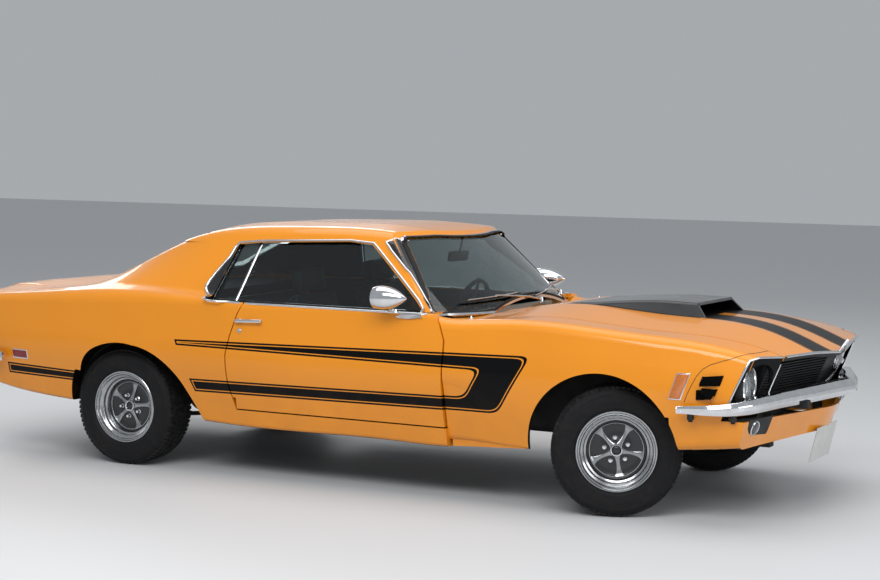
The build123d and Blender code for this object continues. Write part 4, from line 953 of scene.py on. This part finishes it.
for side, hand in SIDES:
    door = f"door_{hand}"
    for where, (outline, frame_width, look) in MARKERS.items():
        side_plate(f"{where}_marker_bezel_{hand}", grown(outline, frame_width), hand, 0.004)
        side_plate(f"{where}_marker_lens_{hand}", grown(outline, -0.001), hand, 0.0075, look)
    # Each gill is a flat black plate over and past its opening, painted shade for the dark inside it
    for level, outline in GILLS.items():
        side_plate(f"gill_{level}_{hand}", outline, hand, 0.003, (opening_shade_black, "black_paint"), sink=0.001,
                   soften=0.0, spread=0.03)
    side_plate(f"mirror_foot_{hand}", MIRROR_FOOT, hand, 0.01, body=door, soften=0.0)
    a, b = at_side(*HANDLE_REAR, hand), at_side(*HANDLE_FRONT, hand)
    fitted(f"door_handle_{hand}", BRIGHT_TRIM,
           (add_box, (0.04, 0.02, 0.02), stood_off(a, side, 0.006), 0.005, 3),
           (add_box, (0.03, 0.02, 0.016), stood_off(b, side, 0.006), 0.005, 3),
           (add_box, (0.156, 0.01, 0.017), frame_at((a + b) / 2 + Vector((0, side * 0.022, 0)), b - a), 0.0045, 3),
           (add_drum, 0.0095, 0.012, stood_off(a, side, 0.018, QUARTER), 24), body=door)
    lock = at_side(*LOCK_PLACE, hand)
    fitted(f"door_lock_{hand}", BRIGHT_TRIM, (add_drum, 0.0115, 0.008, stood_off(lock, side, 0.002, QUARTER), 28),
           (add_drum, 0.0075, 0.006, stood_off(lock, side, 0.006, QUARTER), 20), body=door)
    low, high = (Vector(p) * Vector((1, side, 1)) for p in (PANE_BAR_LOW, PANE_BAR_HIGH))
    panes = skin_of(f"door_glass_{hand}", f"quarter_glass_{hand}")
    line = []
    for t in range(9):
        p = low.lerp(high, t / 8)
        hit = panes.ray_cast(Vector((p.x + 0.01, side * BESIDE, p.z)), Vector((0, -side, 0)))
        line.append(Vector((p.x + 0.003, (hit[0].y if hit[0] else p.y) + side * 0.001, p.z)))
    tube(f"pane_bar_{hand}", line, 0.0085, body=door, flat=0.6)


# How the windscreen faces, forwards and upwards, and how far its skin stands ahead of its foot line
SCREEN_FACES = (0.66, 0, 0.75)
SCREEN_SKIN = 0.007


def on_screen(y, z, out):
    """A place set out from the windscreen."""
    drop = SCREEN_RADIUS - math.sqrt(SCREEN_RADIUS**2 - y * y)
    x = SCREEN_FOOT_X - drop - (z - BELT_Z) * SCREEN_RAKE + SCREEN_SKIN
    return Vector((x + out * SCREEN_FACES[0], y, z + out * SCREEN_FACES[2]))


# Wipers, lying low on the windscreen: where the pivot and the tip stand, and the blade's height at both ends
BLADE_END, PIVOT_Z = 0.16, 0.918
for name, pivot_y, tip_y, low, high in (("right", 0.06, -0.6, 0.935, 0.958), ("left", 0.62, -0.04, 0.93, 0.965)):
    long, rise = pivot_y - BLADE_END - tip_y, high - low
    blade = [on_screen(tip_y + long * t / 10, low + rise * t / 10, 0.01) for t in range(11)]
    tube(f"wiper_blade_{name}", blade, 0.0045, SEAL, flat=0.7)
    tube(f"wiper_bridge_{name}", [p + Vector((0.006, 0, 0.007)) for p in blade[1:-1]], 0.0035)
    hold = blade[5] + Vector((0.007, 0, 0.012))
    pivot = on_screen(pivot_y, PIVOT_Z, 0.012)
    tube(f"wiper_arm_{name}", [pivot, pivot.lerp(hold, 0.35) + Vector((0.004, 0, 0.008)), hold], 0.005)
    fitted(f"wiper_pivot_{name}", BRIGHT_TRIM, (add_drum, 0.012, 0.024, spot(*pivot), 20, 0.008))
for side, hand in SIDES:
    x, y, z = at_top(0.655, side * 0.8)
    fitted(f"washer_nozzle_{hand}", BRIGHT_TRIM, (add_drum, 0.012, 0.006, spot(x, y, z + 0.003), 20),
           (add_drum, 0.008, 0.014, spot(x, y, z + 0.01), 20, 0.003))


# The rear pane is bent from here up to the roof, most at its corners
BEND_FROM, BEND_LONG, BEND_HALF, BEND_DROP = -1.25, 0.238, 0.575, 0.016
# The screen's upper corner, how fast its sides spread below it, and the height where they begin
CORNER_HALF, CORNER_Z, SIDE_SPREAD, PILLAR_FOOT = 0.549, 1.239, 0.639, 0.9


def limited(share):
    return min(1.0, max(0.0, share))


def under_roof(bm):
    """Bends the upper corners of the rear pane down to the roof's crown."""
    bmesh.ops.subdivide_edges(bm, edges=bm.edges[:], cuts=5, use_grid_fill=True)
    for v in bm.verts:
        share = limited((v.co.x - BEND_FROM) / BEND_LONG)
        v.co.z -= BEND_DROP * share * abs(v.co.y / BEND_HALF) ** 4


def beside_pillar(middle):
    """Whether a place on the screen's border belongs to a pillar's side."""
    return middle.z > PILLAR_FOOT and abs(middle.y) > CORNER_HALF + (CORNER_Z - middle.z) * SIDE_SPREAD


def merged_copy(node):
    """A copy of a node with its loose triangles joined."""
    bm = copy_of(node)
    bmesh.ops.remove_doubles(bm, verts=bm.verts, dist=1e-5)
    return bm


def pane_border(name, node, facing, width, lift, look, tallest=0.0):
    """A flat strip along a pane's border, without its sides up to the height tallest."""
    bm = merged_copy(node)
    away = [f for f in bm.faces if f.normal.dot(Vector(facing).normalized()) < 0.55]
    bmesh.ops.delete(bm, geom=away, context="FACES")
    bmesh.ops.dissolve_limit(bm, angle_limit=math.radians(0.4), verts=bm.verts, edges=bm.edges)
    if node == "rear_window":
        under_roof(bm)
    made = bmesh.ops.inset_region(bm, faces=bm.faces[:], thickness=width, use_even_offset=True, use_boundary=True)
    keep = set(made["faces"])
    bmesh.ops.delete(bm, geom=[f for f in bm.faces if f not in keep], context="FACES")
    middles = [(f, f.calc_center_median()) for f in bm.faces]
    rises = [f for f, middle in middles if middle.z < tallest and beside_pillar(middle)]
    bmesh.ops.delete(bm, geom=rises, context="FACES")
    bmesh.ops.solidify(bm, geom=bm.faces[:], thickness=-lift)
    return piece_of(name, bm, look, sharp=40)


# Up the pillars the bright line of the screen stands outside the pane, with a black band between them
PILLAR_LINE = [(0.1699, 0.54, 1.2345), (0.115, 0.595, 1.233), (0.085, 0.623, 1.225), (0.1308, 0.6466, 1.1844),
               (0.1901, 0.6704, 1.1377), (0.26, 0.693, 1.078), (0.3309, 0.7191, 1.0074), (0.3978, 0.75, 0.9428),
               (0.4451, 0.785, 0.905)]
PANE_TOP, PANE_FOOT = Vector((0.1423, 0.5739, 1.239)), Vector((0.4595, 0.8033, 0.88))
for side, hand in SIDES:
    turned_over = Vector((1, side, 1))
    line = [Vector(p) * turned_over for p in dense(PILLAR_LINE)]
    inner = []
    for p in line:
        share = limited((PANE_TOP.z - p.z) / (PANE_TOP.z - PANE_FOOT.z))
        inner.append(PANE_TOP.lerp(PANE_FOOT, share) * turned_over)
    skin_band(f"screen_band_{hand}", line, inner, hand, 0.0026, across=20)
    tube(f"pillar_trim_{hand}", [on_skin(p, hand, 0.002) for p in line], 0.0075, flat=0.7)

# Framing round the front and rear screens, and the rear pane itself
REAR_FACES = (-0.5, 0, 0.86)
pane_border("windshield_trim", "windshield", SCREEN_FACES, 0.013, 0.006, BRIGHT_TRIM, tallest=1.232)
pane_border("windshield_seal", "windshield", SCREEN_FACES, 0.026, 0.003, SEAL)
bm = merged_copy("rear_window")
bmesh.ops.dissolve_limit(bm, angle_limit=math.radians(0.4), verts=bm.verts, edges=bm.edges)
bmesh.ops.triangulate(bm, faces=bm.faces[:])
under_roof(bm)
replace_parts(piece_of("rear_pane", bm, (screen_glass, "clear_glass")), "rear_window")
pane_border("rear_window_trim", "rear_window", REAR_FACES, 0.016, 0.006, BRIGHT_TRIM)

# A cushion's seam line, as a share of its half width, the seam's own half width, and how far the sides are drawn in
SEAM_LINE, SEAM_HALF = 0.84, 0.07
SIDE_PINCH = 0.1
# From where on a point counts to the face, where the pleats end, and how narrow and deep their grooves are
FACE_SIDE, PLEAT_END, PLEAT_NARROW, GROOVE = 0.5, 0.9, 0.16, 0.007


def cushion(name, size, at, crown, pleats=0, cuts=13):
    """A padded block with a crowned face toward local +Z, sides drawn in between its corners, and pleats across Y."""
    bm = bmesh.new()
    bmesh.ops.create_cube(bm, size=2.0)
    bmesh.ops.subdivide_edges(bm, edges=bm.edges[:], cuts=cuts, use_grid_fill=True)
    for v in bm.verts:
        u, w, h = v.co
        round_u = (1 - 0.2 * abs(h) ** 6 - SIDE_PINCH * (1 - abs(w) ** 3) * 0.35) * (1 - 0.06 * abs(w) ** 8)
        round_w = (1 - 0.14 * abs(h) ** 6 - SIDE_PINCH * (1 - abs(u) ** 3) * 0.25) * (1 - 0.06 * abs(u) ** 8)
        rise = crown * (1 - u**4) * (1 - w**4) if h > 0 else crown * 0.2 * (1 - u * u) * (1 - w * w)
        if pleats and h > FACE_SIDE and abs(w) < SEAM_LINE and abs(u) < PLEAT_END:
            phase = (w / SEAM_LINE * pleats) % 2 - 1
            rise -= GROOVE * math.exp(-(phase / PLEAT_NARROW) ** 2)
        if h > FACE_SIDE and abs(abs(w) - SEAM_LINE) < SEAM_HALF:
            rise -= GROOVE * 0.8
        v.co = (u * size[0] / 2 * round_u, w * size[1] / 2 * round_w, h * size[2] / 2 + math.copysign(rise, h))
    bmesh.ops.transform(bm, matrix=at, verts=bm.verts)
    piece = piece_of(name, bm, (seat_vinyl, "seat_cover"), sharp=180)
    soften = piece.modifiers.new("soften", "SUBSURF")
    soften.levels = soften.render_levels = 1
    return piece


def leaning(x, y, z, degrees):
    """A place whose local +Z leans back from pointing forwards, for a seat's backrest."""
    return spot(x, y, z, math.radians(90 - degrees))


# Seats: crowned cushions with sewn pleats, on a frame with rails and posts
SEAT_Y = 0.375
for side, hand in SIDES:
    y = side * SEAT_Y
    base = cushion(f"seat_cushion_{hand}", (0.46, 0.42, 0.1), spot(-0.085, y, 0.45, math.radians(-4)), 0.024,
                   pleats=6)
    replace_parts(base, f"front_seat_{hand}")
    cushion(f"seat_back_{hand}", (0.46, 0.42, 0.085), leaning(-0.432, y, 0.7, 19), 0.022, pleats=6)
    cushion(f"headrest_{hand}", (0.125, 0.26, 0.07), leaning(-0.515, y, 0.99, 12), 0.014, cuts=9)
    fitted(f"seat_frame_{hand}", PLASTIC, (add_box, (0.46, 0.38, 0.085), spot(-0.1, y, 0.355), 0.02, 3),
           *((add_box, (0.5, 0.03, 0.036), spot(-0.11, y + dy, 0.294), 0.004, 2) for dy in (-0.16, 0.16)),
           *((add_drum, 0.006, 0.1, spot(-0.512, y + dy, 0.93), 14) for dy in (-0.05, 0.05)),
           (add_box, (0.42, 0.395, 0.035), leaning(-0.478, y, 0.7, 19), 0.015, 3))
bench = cushion("rear_cushion", (0.34, 1.08, 0.1), spot(-0.885, 0, 0.445, math.radians(-6)), 0.018, pleats=14,
                cuts=19)
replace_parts(bench, "rear_seat")
cushion("rear_backrest", (0.4, 1.08, 0.09), leaning(-1.095, 0, 0.655, 12), 0.016, pleats=14, cuts=19)

# Cabin: carpet, console with its gear lever, dials and inside mirror
fitted("floor_carpet", (floor_carpet, "trim_plastic"),
       *((add_box, (1.05, 0.5, 0.006), spot(-0.16, side * 0.425, 0.2785), 0.002, 1) for side in (1, -1)),
       (add_box, (0.95, 0.19, 0.01), spot(-0.16, 0, 0.405), 0.003, 1))
fitted("gear_console", PLASTIC, (add_box, (0.5, 0.16, 0.05), spot(0.02, 0, 0.432), 0.012, 3),
       (add_drum, 0.007, 0.2, spot(0.12, 0, 0.545, math.radians(-10)), 14),
       (add_drum, 0.022, 0.036, spot(0.104, 0, 0.655), 20, 0.016))
# Each dial's place across and its radius
DIALS = ((0.475, 0.058), (0.275, 0.058), (0.375, 0.034), (0.12, 0.034))
DIAL_Z, DIAL_LEAN = 0.765, 0.12


def dial_ring(r):
    return [(r - 0.002, 0.0), (r - 0.001, 0.012), (r + 0.005, 0.012), (r + 0.007, 0.0)]


fitted("dash_dials", (dial_face, "trim_plastic"),
       *((add_drum, r, 0.014, spot(0.336, y, DIAL_Z, -QUARTER - DIAL_LEAN), 36) for y, r in DIALS))
fitted("dash_bright_trim", BRIGHT_TRIM,
       *((add_spun, dial_ring(r), spot(0.333, y, DIAL_Z, QUARTER, "Z") @ Matrix.Rotation(-DIAL_LEAN, 4, "X"), 36)
         for y, r in DIALS),
       (add_box, (0.008, 0.4, 0.012), spot(0.338, -0.36, 0.73), 0.003, 2))
fitted("inside_mirror", PLASTIC, (add_box, (0.022, 0.21, 0.055), spot(0.175, 0, 1.135, math.radians(12)), 0.009, 3),
       (add_drum, 0.005, 0.1, spot(0.19, 0, 1.19, math.radians(12)), 12))

# Engine dressing: rocker covers, air cleaner, radiator with its fan and hose, battery, brake servo
covers = []
for side in (1, -1):
    covers += [(add_box, (0.5, 0.105, 0.06), spot(1.02, side * 0.185, 0.765, -side * 0.35, "X"), 0.014, 3),
               (add_drum, 0.02, 0.02, spot(1.16, side * 0.2, 0.8), 24)]
fitted("rocker_covers", (enamel, "engine_iron"), *covers)
CLEANER = [(0.0005, 0.052), (0.03, 0.05), (0.12, 0.044), (0.15, 0.036), (0.158, 0.026), (0.158, -0.018),
           (0.15, -0.026), (0.0005, -0.026)]
fitted("air_cleaner", BLACK_TRIM, (add_spun, CLEANER, spot(0.99, 0, 0.836, QUARTER, "X"), 64),
       (add_drum, 0.05, 0.06, spot(0.99, 0, 0.785), 32), (add_drum, 0.012, 0.014, spot(0.99, 0, 0.892), 6))
RADIATOR_X, RADIATOR_Z = 1.8, 0.56
fitted("radiator", CHASSIS, (add_box, (0.05, 0.56, 0.32), spot(RADIATOR_X, 0, RADIATOR_Z), 0.006, 2),
       *((add_box, (0.07, 0.045, 0.335), spot(RADIATOR_X, y, RADIATOR_Z), 0.01, 2) for y in (-0.265, 0.265)),
       *((add_box, (0.054, 0.0025, 0.3), spot(RADIATOR_X, -0.235 + i * 0.0188, RADIATOR_Z)) for i in range(26)),
       (add_drum, 0.024, 0.02, spot(RADIATOR_X, 0.1, 0.728), 24))
FAN_Z, BLADES = 0.6, 6
blades = [spot(1.392, 0, FAN_Z, math.radians(360 / BLADES * i), "X") @ spot(0, 0, 0.115, 0.6, "Z")
          for i in range(BLADES)]
fitted("cooling_fan", BARE_STEEL, (add_drum, 0.045, 0.1, spot(1.345, 0, FAN_Z, QUARTER), 28),
       *((add_box, (0.004, 0.07, 0.15), at, 0.001, 1) for at in blades))
HOSE = [(1.3, 0.06, 0.69), (1.42, 0.08, 0.735), (1.6, 0.13, 0.73), (1.772, 0.16, 0.69)]
tube("radiator_hose_top", dense(HOSE, 0.04), 0.02, SEAL)
fitted("battery", PLASTIC, (add_box, (0.24, 0.165, 0.19), spot(1.64, -0.52, 0.64), 0.008, 2),
       *((add_drum, 0.01, 0.02, spot(1.64 + dx, -0.5, 0.742), 16) for dx in (-0.08, 0.08)))
fitted("brake_servo", BARE_STEEL, (add_drum, 0.105, 0.1, spot(0.545, 0.4, 0.69, QUARTER), 36, 0.09),
       (add_drum, 0.028, 0.14, spot(0.66, 0.4, 0.69, QUARTER), 24),
       (add_box, (0.11, 0.05, 0.05), spot(0.68, 0.4, 0.73), 0.008, 2))

# Tail: frames round the lamps, filler cap, plate and lock
TAIL_LAMPS = (0.39, 0.48, 0.57)
TAIL_X, TAIL_Z = -2.4, 0.71
# Each bar of a lamp's frame: where it stands beside the lamp's middle, its width and its height
FRAME_BARS = ((-0.029, 0, 0.006, 0.12), (0.029, 0, 0.006, 0.12), (0, -0.057, 0.064, 0.006),
              (0, 0.057, 0.064, 0.006))
for side, hand in SIDES:
    fitted(f"tail_lamp_frames_{hand}", BRIGHT_TRIM,
           *((add_box, (0.012, wide, tall), spot(TAIL_X - 0.009, side * y + dy, TAIL_Z + dz), 0.002, 2)
             for y in TAIL_LAMPS for dy, dz, wide, tall in FRAME_BARS))
FILLER = [(0.0005, 0.03), (0.03, 0.03), (0.052, 0.026), (0.06, 0.018), (0.072, 0.016), (0.078, 0.01),
          (0.08, 0.0), (0.0005, 0.0)]
FILLER_GRIPS = 24
at = spot(TAIL_X - 0.005, 0, TAIL_Z, QUARTER, "Z")
grips = [at @ Matrix.Rotation(math.radians(360 / FILLER_GRIPS * i), 4, "Y") @ spot(0.056, 0.023, 0)
         for i in range(FILLER_GRIPS)]
fitted("filler_cap", BRIGHT_TRIM, (add_spun, FILLER, at, 56),
       *((add_box, (0.006, 0.01, 0.005), grip) for grip in grips))
fitted("rear_plate", (plate_white, "plate_blank"),
       (add_box, (0.004, 0.32, 0.16), spot(TAIL_X - 0.01, 0, 0.5), 0.0015, 2))
fitted("boot_lock", BRIGHT_TRIM, (add_drum, 0.013, 0.012, spot(TAIL_X - 0.006, 0, 0.815, QUARTER), 28))

# Scoop: its mouth leans back, so the lower corners are drawn forward and the upper lip back
SCOOP_ROOT, SCOOP_FRONT, SCOOP_LOW, SCOOP_HIGH = 1.3, 1.62, 0.885, 0.968
LIP_FORWARD, LIP_BACK, LIP_DROP = 0.045, 0.11, 0.16
bm = merged_copy("hood_scoop")
for v in bm.verts:
    ahead = limited((v.co.x - SCOOP_ROOT) / (SCOOP_FRONT - SCOOP_ROOT))
    height = limited((v.co.z - SCOOP_LOW) / (SCOOP_HIGH - SCOOP_LOW))
    shift = ahead * (LIP_FORWARD - LIP_BACK * height)
    v.co.x += shift
    v.co.z -= LIP_DROP * max(0.0, shift)
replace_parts(piece_of("scoop_shell", bm, (scoop_black, "black_paint"), "hood", sharp=30), "hood_scoop")

# Parking lamps in the valance's slot, bumper bolts, pipe ends behind, and the mirrors' glass. The lamps' black patch
# is given from the front as (y, z), on the plane that the lamps face
LAMP_PATCH = [(0.808, 0.503), (0.797, 0.464), (0.772, 0.438), (0.74, 0.428), (0.6, 0.418), (0.588, 0.447),
              (0.575, 0.503)]
LAMP_SPOT, LAMP_FACING = Vector((2.0575, -0.735, 0.46)), Vector((0.94, -0.17, -0.29)).normalized()
PARKING_LENS = [(0.0005, 0.016), (0.012, 0.015), (0.024, 0.011), (0.03, 0.004), (0.03, -0.01), (0.0005, -0.01)]
PARKING_RING = [(0.029, 0.0), (0.0295, 0.007), (0.033, 0.009), (0.0365, 0.006), (0.037, -0.004), (0.029, -0.004)]
PIPE_END = [(0.0265, 0.0), (0.03, 0.0), (0.0305, 0.07), (0.0285, 0.072), (0.0265, 0.07)]
BUMPER_BOLTS = ((1.815, 0.905), (2.0, 0.862))
for side, hand in SIDES:
    turned_over = Vector((1, -side, 1))
    bm = bmesh.new()
    face = []
    for y, z in LAMP_PATCH:
        x = LAMP_SPOT.x - (LAMP_FACING.y * (-y - LAMP_SPOT.y) + LAMP_FACING.z * (z - LAMP_SPOT.z)) / LAMP_FACING.x
        face.append(bm.verts.new((Vector((x, -y, z)) + LAMP_FACING * 0.0015) * turned_over))
    bm.faces.new(face)
    bmesh.ops.recalc_face_normals(bm, faces=bm.faces)
    bmesh.ops.solidify(bm, geom=bm.faces[:], thickness=0.001)
    piece_of(f"parking_lamp_recess_{hand}", bm, BLACK_TRIM)
    at = frame_at(LAMP_SPOT * turned_over, LAMP_FACING * turned_over) @ Matrix.Rotation(-QUARTER, 4, "Z")
    fitted(f"parking_lamp_{hand}", LAMP_LENS, (add_spun, PARKING_LENS, at, 40))
    fitted(f"parking_lamp_ring_{hand}", BRIGHT_TRIM, (add_spun, PARKING_RING, at, 40))
    bolts = []
    for x, y in BUMPER_BOLTS:
        bolts += [(add_drum, 0.016, 0.03, spot(x, side * y, 0.512), 20),
                  (add_drum, 0.01, 0.016, spot(x, side * y, 0.496), 6)]
    fitted(f"bumper_bolts_{hand}", CHASSIS, *bolts)
    fitted(f"pipe_end_{hand}", BRIGHT_TRIM, (add_spun, PIPE_END, spot(-2.335, side * 0.43, 0.33, QUARTER, "Z"), 40))
    fitted(f"mirror_glass_{hand}", REFLECTOR,
           (add_drum, 0.047, 0.004, spot(0.2055, side * 0.95, 0.975, QUARTER), 48), body=f"door_{hand}")

# Ground, light and camera
floor_bm = bmesh.new()
bmesh.ops.create_grid(floor_bm, x_segments=1, y_segments=1, size=40.0)
floor_mesh = bpy.data.meshes.new("studio_floor")
floor_bm.to_mesh(floor_mesh)
floor_bm.free()
floor = bpy.data.objects.new("studio_floor", floor_mesh)
scene.collection.objects.link(floor)
floor_mesh.materials.append(Finish("studio_floor").done(Base_Color=(0.62, 0.63, 0.64), Roughness=0.55))

world = bpy.data.worlds.new("studio")
scene.world = world
world.use_nodes = True
sky = world.node_tree.nodes["Background"].inputs
sky["Color"].default_value = (0.8, 0.84, 0.88, 1)
sky["Strength"].default_value = 0.48

# Each lamp's place, what it looks at, its size in metres and its power in watts
for name, place, aim, size, power in (
    ("key_light", (2.5, -6.5, 6.0), (0, 0, 0.6), (7.0, 3.0), 400.0),
    ("sky_light", (0.0, 0.0, 7.5), (0, 0, 0), (9.0, 6.0), 255.0),
    ("front_light", (8.0, -1.5, 3.5), (1.5, 0, 0.5), (4.0, 4.0), 140.0),
    ("back_light", (-6.0, 6.0, 5.0), (0, 0, 0.8), (5.0, 3.0), 160.0),
):
    lamp_data = bpy.data.lights.new(name, "AREA")
    lamp_data.shape = "RECTANGLE"
    lamp_data.size, lamp_data.size_y = size
    lamp_data.energy = power
    lamp = bpy.data.objects.new(name, lamp_data)
    lamp.location = place
    lamp.rotation_euler = (Vector(aim) - Vector(place)).to_track_quat("-Z", "Y").to_euler()
    scene.collection.objects.link(lamp)

# The camera as fitted to the photograph, with its angles in radians
CAMERA_PLACE = (4.67955 + MIDDLE, -8.92567, 1.66916)
CAMERA_YAW, CAMERA_PITCH, CAMERA_ROLL = 0.4767, -0.0715, 0.0161
camera_data = bpy.data.cameras.new("camera")
camera_data.sensor_width = 36.0
camera_data.lens = 77.36
camera_data.clip_end = 200.0
camera = bpy.data.objects.new("camera", camera_data)
level = math.cos(CAMERA_PITCH)
forward = Vector((-math.sin(CAMERA_YAW) * level, math.cos(CAMERA_YAW) * level, math.sin(CAMERA_PITCH)))
right = Vector((math.cos(CAMERA_YAW), math.sin(CAMERA_YAW), 0))
up = right.cross(forward)
across = right * math.cos(CAMERA_ROLL) + up * math.sin(CAMERA_ROLL)
above = -right * math.sin(CAMERA_ROLL) + up * math.cos(CAMERA_ROLL)
camera.matrix_world = Matrix.Translation(CAMERA_PLACE) @ Matrix((across, above, -forward)).transposed().to_4x4()
scene.collection.objects.link(camera)
scene.camera = camera
scene.view_settings.view_transform = "Standard"
